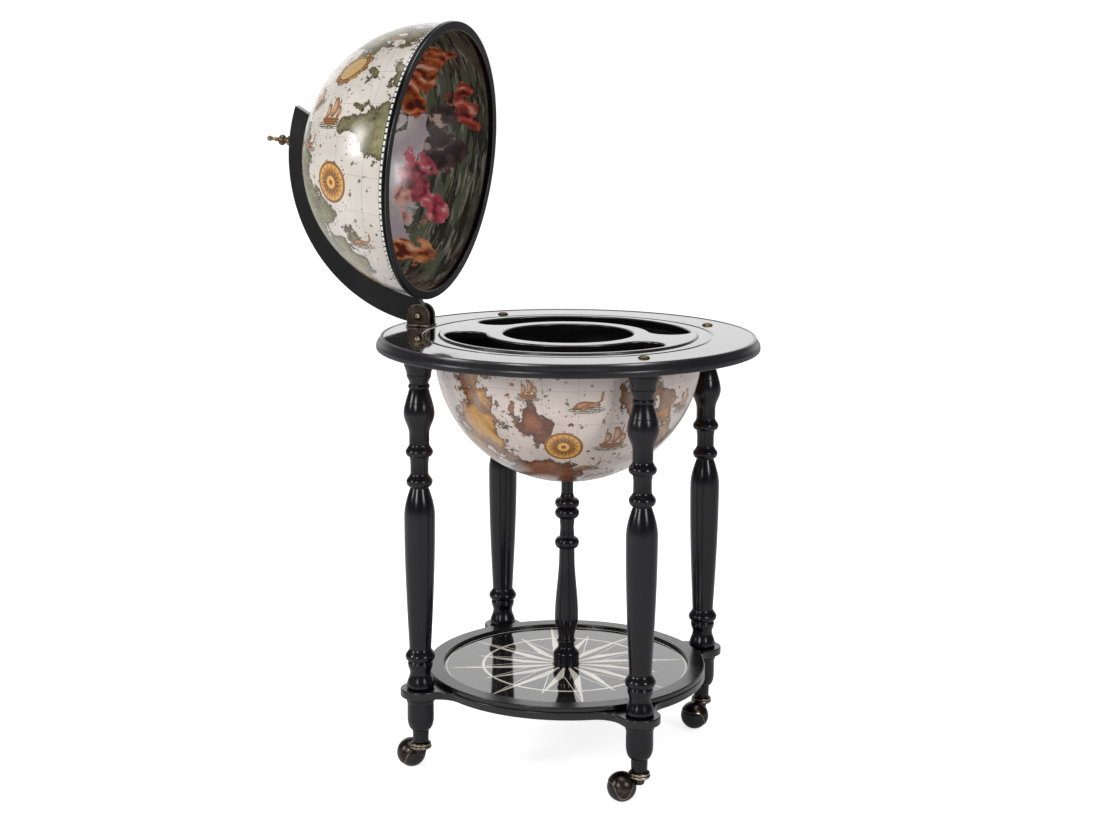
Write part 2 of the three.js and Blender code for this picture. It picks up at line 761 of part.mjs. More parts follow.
// The hinge bracket and its pin, about the pin
function hinge() {
  const half = bracketDepth / 2;
  const bottom = gap - pinRise;
  const floorTop = bottom + bracketFloor;
  const slotHalf = armThick / 2 + earClear;
  const width = 2 * (slotHalf + earThick);
  const outline = [at(-half, bottom), at(half, bottom), ...arc(at(0, 0), half, 0, Math.PI, 10)];
  const flangeDepth = bracketDepth + 2 * flangeWidth;
  const flange = new THREE.BoxGeometry(width + 2 * flangeWidth, flangeDepth, flangeHeight)
    .translate(0, 0, bottom + flangeHeight / 2);
  const slotHeight = half + overrun - floorTop;
  const slot = new THREE.BoxGeometry(2 * slotHalf, flangeDepth + 2 * overrun, slotHeight)
    .translate(0, 0, floorTop + slotHeight / 2);
  const bore = rod(pinBore, width + 2 * overrun, smallSides).rotateY(poleAngle)
    .translate(-width / 2 - overrun, 0, 0);
  const sinks = bracketScrewPlaces().map((along) => countersunk(gap, 0, bracketFloor + overrun)
    .translate(0, along, floorTop));
  const clevis = cut(join([sideways(outline, width), flange]), [slot, bore, ...sinks]);
  const bracket = mesh('hinge_bracket', clevis, bronze);

  const head = width / 2 + gap;
  const side = [
    at(pinHead, head),
    ...domeShares.map(([out, up]) => at(out * pinHead, head + up * pinHeadHeight)),
  ];
  const pin = turned([
    ...side.map((point) => at(point.x, -point.y)).reverse(),
    at(pinRadius, -head),
    at(pinRadius, head),
    ...side,
  ], smallSides).rotateY(poleAngle);

  const top = floorTop - gap;
  const length = bracketScrewGrip - pinRise - bottom - gap + bracketFloor + gap;
  const screws = bracketScrewPlaces().map((along, order) => {
    const piece = mesh(`bracket_screw_${'ab'[order]}`, countersunk(0, 0, length), bronze);
    return place(piece, 0, along, top);
  });
  const pieces = gather([bracket, mesh('hinge_pin', pin, brass), ...screws]);
  return place(pieces, 0, hingeReach, tableTop + pinRise);
}

// Outline of the arm in Y and Z about the centre of the closed dome
function armOutline() {
  const centre = at(0, 0);
  const pin = at(hingeReach, lidDrop);
  const end = poleAngle + THREE.MathUtils.degToRad(armPast);
  const outerSide = Math.asin(armFlat / armOuter);
  const innerSide = Math.asin(armFlat / armInner);
  const innerStart = Math.asin((lidDrop + armHeel) / armInner);
  const heelStart = pinAngle - THREE.MathUtils.degToRad(heelTurn);
  return [
    ...arc(pin, heelRadius, heelStart, pinAngle, 7).slice(0, -1),
    ...arc(centre, armOuter, pinAngle, poleAngle - outerSide, armSteps),
    ...arc(centre, armOuter, poleAngle + outerSide, end, 2),
    ...arc(centre, armInner, end, poleAngle + innerSide, 2),
    ...arc(centre, armInner, poleAngle - innerSide, innerStart, armSteps),
  ];
}

// The lid about the pin, closed: the arm with its bolt, and the dome with its lip
function lid() {
  const boltBottom = domePadInside - 2 * gap - washerThick - gap - nutThick - boltTail;
  const armBores = [
    rod(pinBore, armThick + 2 * overrun, smallSides).rotateY(poleAngle)
      .translate(-armThick / 2 - overrun, hingeReach, lidDrop),
    rod(poleBore, armOuter - armInner + 2 * overrun, smallSides).translate(0, 0, armInner - overrun),
  ];
  const arm = mesh('lid_arm', cut(sideways(armOutline(), armThick), armBores), satinBlack);

  const spacerBottom = domePadHeight + gap;
  const spacer = tube(poleBore, spacerRadius, armInnerFlat - gap - spacerBottom, smallSides);
  const finial = turned([
    at(0, boltBottom - finialSeat),
    at(poleBoltRadius, boltBottom - finialSeat),
    at(poleBoltRadius, 0),
    ...turning(finialShares, finialRadius, finialHeight),
  ], smallSides);
  const washerTop = domePadInside - gap;
  const nutTop = washerTop - washerThick - gap;
  const washer = tube(poleBore, washerRadius, washerThick, smallSides);
  const nutShape = new THREE.Shape(arc(at(0, 0), nutRadius, 0, tau, nutSides).slice(1));
  nutShape.holes.push(new THREE.Path(arc(at(0, 0), poleBore, tau, 0, smallSides).slice(1)));
  const nut = new THREE.ExtrudeGeometry(nutShape, { depth: nutThick, bevelEnabled: false });

  const dome = turnedRing(shellOutline(domeRadius, domePad, poleBore, domeRimDrop, [], [4]), roundSides);
  const lipTop = lipBand - lipDrop;
  const slotFloor = lipFloor - lipDrop;
  const lip = turnedRing([
    at(lipInner, -lipDrop),
    at(lipOuter, -lipDrop),
    at(lipOuter, lipTop - lipRound),
    at(lipOuter - lipRound, lipTop),
    at(domeRadius + gap, lipTop),
    at(domeRadius + gap, slotFloor),
    at(domeInner - gap, slotFloor),
    at(domeInner - gap - lipTaper, lipTongue - lipDrop),
    at(lipInner, lipTongue - lipDrop),
  ], roundSides);

  const centre = place(gather([
    arm,
    place(mesh('pole_spacer', spacer, bronze), 0, 0, spacerBottom),
    place(mesh('finial_bolt', finial, brass), 0, 0, finialSeat),
    place(mesh('pole_washer', washer, brass), 0, 0, washerTop - washerThick),
    place(mesh('pole_nut', nut, brass), 0, 0, nutTop - nutThick),
    mesh('dome', dome, domePaper),
    mesh('dome_lip', lip, blackLacquer),
  ]), 0, -hingeReach, -lidDrop);
  const swing = place(gather([centre]), 0, hingeReach, tableTop + pinRise);
  swing.rotation.x = -openTurn;
  return swing;
}

// The whole bar, with its origin on the floor under the middle of its width and depth
const globeBar = gather([
  place(gather([tableRing(), holderPlate()]), 0, 0, tableTop),
  bowlAndShelf(),
  ...legPlaces.map((spot, order) => corner('dcba'[order], spot, casterTurns[order])),
  tray(),
  spindle(),
  hinge(),
  lid(),
]);
place(globeBar, 0, (tableRadius - tipReach) / 2, 0);

export default globeBar;
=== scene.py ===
# Floor globe bar: the looks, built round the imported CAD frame. Outlines are in millimetres.
import json
import math

import bmesh
import bpy
from mathutils import Matrix, Vector


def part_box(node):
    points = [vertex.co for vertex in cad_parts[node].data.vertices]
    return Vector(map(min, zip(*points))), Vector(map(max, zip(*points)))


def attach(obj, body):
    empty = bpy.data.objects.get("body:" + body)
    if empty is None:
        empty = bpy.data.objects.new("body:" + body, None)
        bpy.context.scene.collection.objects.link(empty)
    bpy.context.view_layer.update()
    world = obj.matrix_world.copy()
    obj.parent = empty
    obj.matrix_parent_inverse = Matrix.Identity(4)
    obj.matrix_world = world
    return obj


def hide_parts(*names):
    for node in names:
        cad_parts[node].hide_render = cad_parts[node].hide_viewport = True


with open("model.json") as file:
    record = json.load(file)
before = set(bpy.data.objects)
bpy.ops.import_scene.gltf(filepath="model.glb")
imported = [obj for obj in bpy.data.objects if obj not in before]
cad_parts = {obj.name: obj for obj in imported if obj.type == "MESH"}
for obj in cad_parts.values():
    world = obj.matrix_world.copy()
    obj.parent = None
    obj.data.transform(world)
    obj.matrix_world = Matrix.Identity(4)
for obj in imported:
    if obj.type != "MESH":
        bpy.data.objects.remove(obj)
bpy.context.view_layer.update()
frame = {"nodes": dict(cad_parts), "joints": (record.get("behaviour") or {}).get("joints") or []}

MM = 0.001
TURN = math.tau


# Places that the frame gives

def middle(node):
    low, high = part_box(node)
    return (low + high) / 2


def joint(name):
    return next(j for j in frame["joints"] if j["name"] == name)


def upright(node):
    """The place on the floor under a piece that stands upright."""
    spot = middle(node)
    return Matrix.Translation((spot.x, spot.y, 0))


def raised(height):
    return Matrix.Translation((0, 0, height * MM))


STAND = upright("table_ring")
PIN = middle("hinge_pin")
HINGE_REACH = 197.0  # from the closed globe's axis back to the pin
LID_DROP = 7.0  # pin over the centre of the closed dome
OPEN = math.radians(joint("lid_hinge")["range_deg"][1])
LID = (Matrix.Translation(PIN) @ Matrix.Rotation(-OPEN, 4, "X")
       @ Matrix.Translation((0, -HINGE_REACH * MM, -LID_DROP * MM)))
SIDEWAYS = Matrix(((0, 0, 1, 0), (1, 0, 0, 0), (0, 1, 0, 0), (0, 0, 0, 1)))
CORNERS = "abcd"

# Sizes that several pieces share

TABLE_TOP, TRAY_SEAT, PANEL_TOP = 529.0, 106.3, 108.3
LEG_CIRCLE = 197.5
DOME, BOWL, WALL = 170.5, 165.0, 4.0  # the globe's outer radii, and how thick it is
DOME_PAD, ARM_FLAT = 10.0, 9.0  # half widths of the flats at the pole
BOLT_HOLE, GAP = 3.3, 0.3


# Outlines

STEPS = {"line": 1, "ease": 16, "bead": 18, "roll": 10, "swell": 18, "shoulder": 14}


def turning(rows):
    """Outline of a turned piece. Each row is how the outline runs to its point, the point's
    height and radius and, on a bead, the radius of the bead."""
    points = [(rows[0][2], rows[0][1])]
    for run, height, radius, *bulge in rows[1:]:
        start_radius, start_height = points[-1]
        for step in range(1, STEPS[run] + 1):
            even = step / STEPS[run]
            eased = (1 - math.cos(math.pi * even)) / 2
            quarter = math.sin(math.pi / 2 * even)
            slow = 1 - math.cos(math.pi / 2 * even)
            out = {"line": even, "ease": eased, "bead": eased, "roll": quarter, "swell": quarter,
                   "shoulder": slow}[run]
            up = {"bead": eased, "roll": slow}.get(run, even)
            at = start_radius + (radius - start_radius) * out
            if bulge:
                at += (bulge[0] - at) * math.sin(math.pi * even)
            points.append((at, start_height + (height - start_height) * up))
    return points


def polar(radius, angle):
    """A point at a distance and at an angle in degrees."""
    return radius * math.cos(math.radians(angle)), radius * math.sin(math.radians(angle))


def arc(centre, radius, first, last, steps, rise=None):
    """Points on an arc, both ends included, with angles in degrees. One with a rise of its own
    is flatter than round."""
    share = 1 if rise is None else rise / radius
    turns = [first + (last - first) * step / steps for step in range(steps + 1)]
    return [(centre[0] + x, centre[1] + y * share) for x, y in (polar(radius, a) for a in turns)]


def disc(radius, steps):
    return arc((0, 0), radius, 0, 360, steps)[:-1]


def hole(radius, steps, centre=(0, 0)):
    return arc(centre, radius, 360, 0, steps)[:-1]


def level(radius, half_width):
    """Height of a flat on a round."""
    return math.sqrt(radius ** 2 - half_width ** 2)


def soften(points, radius, ring):
    """Rounds the corners of an outline as sanding and lacquer do, with a short flat beside each
    curve that keeps the gloss of the faces even."""
    least_corner, flat = 24, 1.25
    made = []
    count = len(points)
    for order, point in enumerate(points):
        here = Vector(point)
        back, ahead = Vector(points[order - 1]) - here, Vector(points[(order + 1) % count]) - here
        if (not ring and order in (0, count - 1)) or not back.length or not ahead.length:
            made.append(tuple(here))
            continue
        turned_by = 180 - math.degrees(back.angle(ahead))
        reach = min(radius, back.length * 0.4, ahead.length * 0.4)
        if turned_by < least_corner or reach < 0.01:
            made.append(tuple(here))
            continue
        back, ahead = back.normalized() * reach, ahead.normalized() * reach
        curve = [((1 - share) ** 2, share ** 2) for share in (0, 0.25, 0.5, 0.75, 1)]
        made += [tuple(here + back * before + ahead * after)
                 for before, after in ((flat, 0), *curve, (0, flat))]
    return made


# Making pieces

def placed(name, data):
    """A new object in the scene."""
    piece = bpy.data.objects.new(name, data)
    bpy.context.scene.collection.objects.link(piece)
    return piece


def body_of(name, shape, place=Matrix()):
    """An object from a bmesh, put at its place with its faces outwards."""
    bmesh.ops.remove_doubles(shape, verts=shape.verts, dist=1e-7)
    bmesh.ops.recalc_face_normals(shape, faces=shape.faces)
    for face in shape.faces:
        face.smooth = True
    for edge in shape.edges:
        edge.smooth = not edge.is_manifold or edge.calc_face_angle(0) < math.radians(38)
    mesh = bpy.data.meshes.new(name)
    shape.to_mesh(mesh)
    shape.free()
    mesh.transform(place)
    return placed(name, mesh)


def taken(*pieces):
    """The meshes of some pieces in one bmesh. The pieces themselves go."""
    shape = bmesh.new()
    for piece in pieces:
        shape.from_mesh(piece.data)
        bpy.data.objects.remove(piece)
    return shape


def skin(shape, low, high):
    """Faces between two rows of points, where a row of one point is a tip."""
    sides = max(len(low), len(high))
    made = []
    for side in range(sides if sides > 1 else 0):
        after = side + 1
        corners = [low[side % len(low)], low[after % len(low)],
                   high[after % len(high)], high[side % len(high)]]
        made.append(shape.faces.new(dict.fromkeys(corners)))
    return made


def revolve(shape, outline, sides, ring):
    """Turns an outline about Z in a bmesh. A ring's outline closes on itself."""
    rows = []
    for radius, height in outline:
        count = 1 if radius < 1e-6 else sides
        rows.append([shape.verts.new((radius * MM * math.cos(TURN * side / sides),
                                      radius * MM * math.sin(TURN * side / sides),
                                      height * MM)) for side in range(count)])
    for low, high in zip(rows, rows[1:] + rows[:1] if ring else rows[1:]):
        skin(shape, low, high)


def turned(name, outline, place, sides=64, ring=False, edge=0.6):
    shape = bmesh.new()
    revolve(shape, soften(outline, edge, ring), sides, ring)
    return body_of(name, shape, place)


def band(name, inner, outer, low, high, place, sides, edge):
    """A flat ring, from one radius and one height to the others."""
    return turned(name, [(inner, low), (outer, low), (outer, high), (inner, high)], place, sides,
                  True, edge)


def solid(outline):
    """Closes an outline to the axis at both ends."""
    return [(0, outline[0][1]), *outline, (0, outline[-1][1])]


def applied(piece):
    """Turns a piece's modifiers, or a curve, into its plain mesh."""
    bpy.context.view_layer.update()
    graph = bpy.context.evaluated_depsgraph_get()
    plain = placed("plain", bpy.data.meshes.new_from_object(piece.evaluated_get(graph)))
    name = piece.name
    bpy.data.objects.remove(piece)
    plain.name = plain.data.name = name
    return plain


def sawn(name, outline, holes, low, high, rounding, place):
    """A board sawn to an outline, from one height to another, with rounded edges."""
    curve = bpy.data.curves.new(name, "CURVE")
    curve.dimensions, curve.fill_mode = "2D", "BOTH"
    for points in (outline, *holes):
        line = curve.splines.new("POLY")
        line.points.add(len(points) - 1)
        for spot, (across, along) in zip(line.points, points):
            spot.co = (across * MM, along * MM, 0, 1)
        line.use_cyclic_u = True
    curve.extrude = ((high - low) / 2 - rounding) * MM
    curve.bevel_depth, curve.bevel_resolution, curve.offset = rounding * MM, 3, -rounding * MM
    flat = applied(placed(name, curve))
    piece = body_of(name, taken(flat), place @ raised((low + high) / 2))
    piece.modifiers.new("even gloss", "WEIGHTED_NORMAL").keep_sharp = True
    return applied(piece)


def block(shape, low, high, rounding):
    """Adds a block with rounded edges to a bmesh."""
    low, high = Vector(low) * MM, Vector(high) * MM
    place = Matrix.Translation((low + high) / 2) @ Matrix.Diagonal((*(high - low), 1))
    made = bmesh.ops.create_cube(shape, size=1, matrix=place)
    edges = {edge for vert in made["verts"] for edge in vert.link_edges}
    bmesh.ops.bevel(shape, geom=list(edges), offset=rounding * MM, segments=3, profile=0.5,
                    affect="EDGES")


def carve(piece, tool, operation):
    """Cuts a tool from a piece, or joins it on."""
    modifier = piece.modifiers.new("cut", "BOOLEAN")
    modifier.operation, modifier.object, modifier.solver = operation, tool, "EXACT"
    made = applied(piece)
    bpy.data.objects.remove(tool)
    return body_of(made.name, taken(made))


def choose(piece, finish_of):
    """Gives each face the number of its finish, by its middle and its normal."""
    for face in piece.data.polygons:
        face.material_index = int(finish_of(face.center, face.normal))


def finished(piece, body, slot, finishes, *nodes):
    """Gives a piece its finishes and the body that it rides on, and hides the CAD nodes it stands
    for.
    """
    if len(piece.data.materials):
        piece.data.materials.clear()
    for finish in finishes:
        piece.data.materials.append(finish)
    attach(piece, body)
    if nodes:
        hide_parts(*nodes)


# Node trees

class Wiring:
    """Short calls that add nodes to a tree."""

    def __init__(self, tree):
        self.tree = tree

    def feed(self, socket, value):
        if isinstance(value, bpy.types.NodeSocket):
            self.tree.links.new(value, socket)
        else:
            socket.default_value = value

    def add(self, kind, *values, **settings):
        """A node with its settings, and values or links for its first inputs."""
        node = self.tree.nodes.new(kind)
        for key, value in settings.items():
            setattr(node, key, value)
        for socket, value in zip(node.inputs, values):
            self.feed(socket, value)
        return node

    def fed(self, kind, inputs, **settings):
        """The outputs of a node with values or links for its inputs by name."""
        node = self.add(kind, **settings)
        for name, value in inputs.items():
            self.feed(node.inputs[name], value)
        return node.outputs

    def number(self, operation, *values):
        return self.add("ShaderNodeMath", *values, operation=operation).outputs[0]

    def both(self, *shares):
        made = shares[0]
        for share in shares[1:]:
            made = self.number("MULTIPLY", made, share)
        return made

    def line(self, value, slope, start):
        return self.number("MULTIPLY_ADD", value, slope, start)

    def below(self, value, limit):
        return self.number("LESS_THAN", value, limit)

    def above(self, value, limit):
        return self.number("GREATER_THAN", value, limit)

    def near(self, value, target, reach):
        return self.number("COMPARE", value, target, reach)

    def wave(self, value, often):
        return self.number("SINE", self.both(value, often))

    def vector(self, operation, *values):
        node = self.add("ShaderNodeVectorMath", *values, operation=operation)
        return node.outputs[1 if operation in ("DOT_PRODUCT", "LENGTH") else 0]

    def dot(self, first, second):
        return self.vector("DOT_PRODUCT", first, second)

    def point(self, *parts):
        return self.add("ShaderNodeCombineXYZ", *parts).outputs[0]

    def parts(self, vector):
        return self.add("ShaderNodeSeparateXYZ", vector).outputs

    def oval(self, at, across, up, width, height):
        """How far a point lies out from an oval's middle, as a share of its edge."""
        return self.vector("LENGTH", self.vector("MULTIPLY_ADD", at, (1 / width, 1 / height, 0),
                                                 (-across / width, -up / height, 0)))

    def bridge(self, value, low, high, first=0.0, last=1.0):
        """A smooth step from first to last as the value goes from low to high."""
        return self.add("ShaderNodeMapRange", value, low, high, first, last,
                        interpolation_type="SMOOTHSTEP").outputs[0]

    def tint(self, share, first, second):
        node = self.add("ShaderNodeMix", share, data_type="RGBA")
        self.feed(node.inputs[6], first)
        self.feed(node.inputs[7], second)
        return node.outputs[2]

    def noise(self, at, scale, detail=3.0, rough=0.5, twist=0.0):
        return self.fed("ShaderNodeTexNoise", {"Vector": at, "Scale": scale, "Detail": detail,
                                               "Roughness": rough, "Distortion": twist})[0]

    def cells(self, at, scale):
        return self.fed("ShaderNodeTexVoronoi", {"Vector": at, "Scale": scale}, feature="F1")


def round_tree():
    """Sets copies of one piece round the stand's axis."""
    tree = bpy.data.node_groups.new("set round the axis", "GeometryNodeTree")
    sockets = {"Geometry": "NodeSocketGeometry", "Piece": "NodeSocketObject",
               "Count": "NodeSocketInt", "Radius": "NodeSocketFloat",
               "First turn": "NodeSocketFloat", "Finish": "NodeSocketMaterial"}
    for name, kind in sockets.items():
        tree.interface.new_socket(name, in_out="INPUT", socket_type=kind)
    tree.interface.new_socket("Geometry", in_out="OUTPUT", socket_type="NodeSocketGeometry")
    w = Wiring(tree)
    given = w.add("NodeGroupInput").outputs
    index = w.add("GeometryNodeInputIndex").outputs[0]
    turn = w.number("ADD", given["First turn"],
                    w.both(index, w.number("DIVIDE", TURN, given["Count"])))
    spot = w.point(w.both(given["Radius"], w.number("COSINE", turn)),
                   w.both(given["Radius"], w.number("SINE", turn)))
    points = w.fed("GeometryNodePoints", {"Count": given["Count"], "Position": spot})
    source = w.fed("GeometryNodeObjectInfo", {"Object": given["Piece"]},
                   transform_space="ORIGINAL")
    copies = w.fed("GeometryNodeInstanceOnPoints", {
        "Points": points[0], "Instance": source["Geometry"], "Rotation": w.point(0, 0, turn)})
    real = w.fed("GeometryNodeRealizeInstances", {"Geometry": copies[0]})
    coat = w.fed("GeometryNodeSetMaterial", {"Geometry": real[0], "Material": given["Finish"]})
    w.add("NodeGroupOutput", coat[0])
    return tree


ROUND = round_tree()


def set_round(name, piece, count, radius, first_turn, finish, place):
    """Copies of a piece round the axis, as one plain mesh at its place."""
    carrier = placed(name, bpy.data.meshes.new(name))
    modifier = carrier.modifiers.new("set round", "NODES")
    modifier.node_group = ROUND
    values = {"Piece": piece, "Count": count, "Radius": radius * MM,
              "First turn": math.radians(first_turn), "Finish": finish}
    for socket in ROUND.interface.items_tree:
        if socket.in_out == "INPUT" and socket.name in values:
            modifier[socket.identifier] = values[socket.name]
    made = applied(carrier)
    bpy.data.objects.remove(piece)
    made.data.transform(place)
    return made


# Finishes

def paint(red, green, blue):
    """A colour as it shows on a screen, turned into the shader's own numbers."""
    return tuple(((c / 255 + 0.055) / 1.055) ** 2.4 if c > 10 else c / 3295
                 for c in (red, green, blue)) + (1,)


class Finish(Wiring):
    """A material, with values that are the same all over set on its shader."""

    def __init__(self, name, colour, roughness, **values):
        self.material = bpy.data.materials.new(name)
        self.material.use_nodes = True
        super().__init__(self.material.node_tree)
        self.shader = self.tree.nodes["Principled BSDF"]
        self.coat(colour, roughness)
        for name, value in values.items():
            socket = name.replace("_", " ").title().replace("Ior", "IOR")
            self.shader.inputs[socket].default_value = value

    def coat(self, colour, roughness):
        self.feed(self.shader.inputs["Base Color"], colour)
        self.feed(self.shader.inputs["Roughness"], roughness)

    def place(self):
        return self.add("ShaderNodeTexCoord").outputs["Object"]

    def round_place(self, centre, turn):
        """A point as seen from a half globe's centre with its pole up, and its direction."""
        local = self.fed("ShaderNodeMapping", {"Vector": self.place(), "Location": centre,
                                               "Rotation": turn}, vector_type="TEXTURE")[0]
        return local, self.vector("NORMALIZE", local)

    def uneven(self, height, depth, strength):
        """Raises and lowers the surface, by a depth in metres."""
        self.feed(self.shader.inputs["Normal"], self.fed("ShaderNodeBump", {
            "Strength": strength, "Distance": depth, "Height": height})[0])


def black_lacquer(name, colour, rough, **values):
    """Sprayed lacquer over turned wood: deep gloss with a faint pull of the spray in it, fine
    dust in the coat and a little rubbing."""
    w = Finish(name, colour, rough, **values)
    at = w.place()
    pull = w.noise(at, 55.0, 2.0)
    dust = w.bridge(w.noise(at, 2600.0, 1.0), 0.76, 0.82)
    rubbed = w.bridge(w.noise(at, 19.0, 5.0, 0.6), 0.45, 0.75)
    lighter = tuple(1.3 * c + 0.001 for c in colour[:3]) + (1,)
    w.coat(w.tint(rubbed, colour, lighter), w.line(dust, 0.2, w.line(rubbed, 0.07, rough)))
    w.uneven(pull, 0.00004, 0.5)
    return w.material


def metal(name, colour, worn, rough):
    """Antiqued metal: dark specks in its patina and brighter clouds where it is rubbed."""
    w = Finish(name, colour, rough, metallic=1.0)
    at = w.place()
    clouds = w.noise(at, 90.0, 5.0, 0.65)
    speck = w.bridge(w.noise(at, 900.0, 2.0), 0.55, 0.7)
    dark = tuple(c * 0.45 for c in colour[:3]) + (1,)
    tone = w.tint(w.bridge(clouds, 0.42, 0.68), colour, worn)
    w.coat(w.tint(w.both(speck, 0.5), tone, dark), w.line(clouds, 0.3, rough - 0.12))
    w.uneven(clouds, 0.00006, 0.35)
    return w.material


def inlay(name):
    """Pale print under the same clear lacquer as the panel."""
    w = Finish(name, paint(246, 238, 224), 0.1, coat_weight=1.0, coat_roughness=0.03)
    cloud = w.noise(w.place(), 60.0, 4.0, 0.6)
    w.coat(w.tint(cloud, paint(238, 229, 213), paint(253, 247, 236)), w.line(cloud, 0.06, 0.07))
    return w.material


MIRROR = {"coat_weight": 1.0, "coat_roughness": 0.03}
BLACK_GLOSS = black_lacquer("black lacquer", paint(11, 9, 15), 0.2, specular_ior_level=0.4)
LIP_GLOSS = black_lacquer("lip lacquer", paint(7, 6, 8), 0.26, specular_ior_level=0.1)
TRAY_GLOSS = black_lacquer("tray lacquer", paint(13, 11, 15), 0.23, specular_ior_level=0.4,
                           coat_weight=0.4, coat_roughness=0.18)
# A lighter, rougher copy of the table's lacquer for its outer edge: the lighter colour is painted
# sheen.
EDGE_SHEEN_GLOSS = black_lacquer("table edge lacquer", paint(26, 24, 28), 0.28)
# A rougher, lighter copy of the black lacquer for rounded rims: the lighter colour is a painted
# highlight along them.
RIM_HIGHLIGHT_GLOSS = black_lacquer("rubbed rims", paint(30, 28, 30), 0.3, coat_weight=1.0,
                          coat_roughness=0.26)
TABLE_GLOSS = black_lacquer("table lacquer", paint(17, 15, 16), 0.07, **MIRROR)
SATIN = black_lacquer("satin black", paint(19, 18, 19), 0.38, specular_ior_level=0.24)
# The inside of the bowl is near black: partly its own dark paint, partly painted shade for the
# dark seen through the plate's holes.
INNER_BLACK_AND_SHADE = black_lacquer("black inside the bowl", paint(8, 8, 9), 0.4, specular_ior_level=0.2)
PANEL = black_lacquer("panel", paint(26, 24, 24), 0.07, **MIRROR)
BRONZE = metal("antique bronze", paint(66, 58, 51), paint(92, 80, 68), 0.34)
HOOD = metal("dark bronze", paint(60, 54, 51), paint(92, 84, 79), 0.26)
# Brighter bronze, partly rubbed wear and partly a painted highlight: on the hinge's rounded edges,
# the rivet's middle, the hoods' rims and the stems' bead crests.
WORN_AND_HIGHLIGHT = metal("worn edge", paint(150, 136, 116), paint(214, 202, 180), 0.26)
BRASS = metal("aged brass", paint(88, 76, 56), paint(160, 142, 108), 0.3)
WHEEL = black_lacquer("black wheel", paint(22, 19, 18), 0.2)
STEEL = metal("steel", paint(120, 118, 114), paint(150, 148, 144), 0.4)
ROSE = inlay("rose print")


# The printed chart on the globe. Directions are from the globe's centre, in degrees: round the
# axis from the side that faces left and out from the rim towards the pole.

def towards(around, up):
    x, y = polar(math.cos(math.radians(up)), around)
    return Vector((-x, -y, math.sin(math.radians(up))))


def motif(name, draw):
    """A small picture as a node group: a point in it goes in, its colour and cover come out."""
    tree = bpy.data.node_groups.new(name, "ShaderNodeTree")
    for socket, way, kind in (("Point", "INPUT", "Vector"), ("Colour", "OUTPUT", "Color"),
                              ("Cover", "OUTPUT", "Float")):
        tree.interface.new_socket(socket, in_out=way, socket_type=f"NodeSocket{kind}")
    w = Wiring(tree)
    w.add("NodeGroupOutput", *draw(w, w.add("NodeGroupInput").outputs[0]))
    return tree


def over(w, drawn, mask, tone):
    """One more form over what is drawn: the colour and cover of both."""
    return w.tint(mask, drawn[0], tone), w.number("MAXIMUM", drawn[1], mask)


def draw_sun(w, at):
    """A sun with two sets of rays in a ring."""
    x, y, _ = w.parts(at)
    out = w.vector("LENGTH", at)
    round_by = w.both(w.number("ARCTAN2", y, x), 16 / TURN)
    tooth = w.both(w.number("PINGPONG", round_by, 0.5), 2.0)
    between = w.number("SUBTRACT", 1.0, tooth)
    colour = w.tint(w.above(out, 0.9), paint(208, 164, 84), paint(158, 100, 46))
    for mask, tone in (
            (w.below(tooth, w.line(out, -1.9, 1.68)), paint(198, 104, 46)),
            (w.below(between, w.line(out, -2.2, 1.62)), paint(66, 96, 62)),
            (w.below(out, 0.36), paint(168, 96, 46)), (w.below(out, 0.3), paint(222, 180, 98)),
            (w.below(out, 0.13), paint(170, 78, 48)),
            (w.near(out, 0.9, 0.022), paint(64, 74, 66))):
        colour = w.tint(mask, colour, tone)
    return colour, w.below(out, 1.0)


def draw_water(w, at, across, up, width, height, dark):
    """Hatched water under a ship or a creature."""
    inside = w.bridge(w.oval(at, across, up, width, height), 1.0, 0.7)
    wave = w.wave(w.parts(at)[1], 70.0)
    water = w.both(inside, w.above(w.line(wave, 0.2, w.noise(at, 9.0)), 0.44))
    return w.tint(water, paint(200, 190, 172), dark), water


def draw_ship(w, at):
    """A sailing ship: hull, three sails, masts and water."""
    x, y, _ = w.parts(at)
    drawn = draw_water(w, at, 0.05, -0.6, 1.15, 0.26, paint(78, 82, 62))
    for mast in (-0.36, 0.06, 0.46):
        pole = w.both(w.near(x, mast, 0.025), w.near(y, 0.15, 0.55))
        drawn = over(w, drawn, pole, paint(84, 62, 44))
    for across, up, width, height, red in ((-0.3, 0.08, 0.26, 0.36, 198),
                                           (0.12, 0.26, 0.3, 0.5, 212),
                                           (0.52, 0.04, 0.2, 0.3, 190)):
        out = w.oval(at, across, up, width, height)
        hollow = w.above(w.oval(at, across - width * 0.75, up, width, height * 1.1), 0.72)
        tone = w.tint(w.bridge(out, 0.2, 1.05), paint(red + 10, 160, 108), paint(118, 76, 50))
        drawn = over(w, drawn, w.both(w.below(out, 1.0), hollow), tone)
    hull = w.both(w.below(w.oval(at, 0.05, -0.26, 0.66, 0.4), 1.0), w.below(y, -0.26))
    planks = w.bridge(w.wave(y, 60.0), -0.4, 0.6)
    return over(w, drawn, hull, w.tint(planks, paint(104, 68, 44), paint(168, 112, 66)))


def draw_fish(w, at):
    """A sea fish with a raised tail, in water."""
    x, y, _ = w.parts(at)
    drawn = draw_water(w, at, 0.0, -0.36, 1.1, 0.26, paint(78, 82, 60))
    bent = w.point(x, w.number("SUBTRACT", y, w.both(x, x, x, 0.7)))
    for across, up, width, height in ((-0.12, -0.1, 0.58, 0.2), (0.3, -0.12, 0.4, 0.11),
                                      (0.74, 0.04, 0.09, 0.24), (-0.16, -0.3, 0.1, 0.14)):
        out = w.oval(bent, across, up, width, height)
        scales = w.bridge(w.noise(at, 16.0, 2.0), 0.42, 0.6)
        shade = w.line(scales, 0.5, w.bridge(out, 0.4, 1.0, 0.0, 0.8))
        drawn = over(w, drawn, w.below(out, 1.0),
                     w.tint(shade, paint(206, 142, 92), paint(92, 62, 42)))
    return drawn


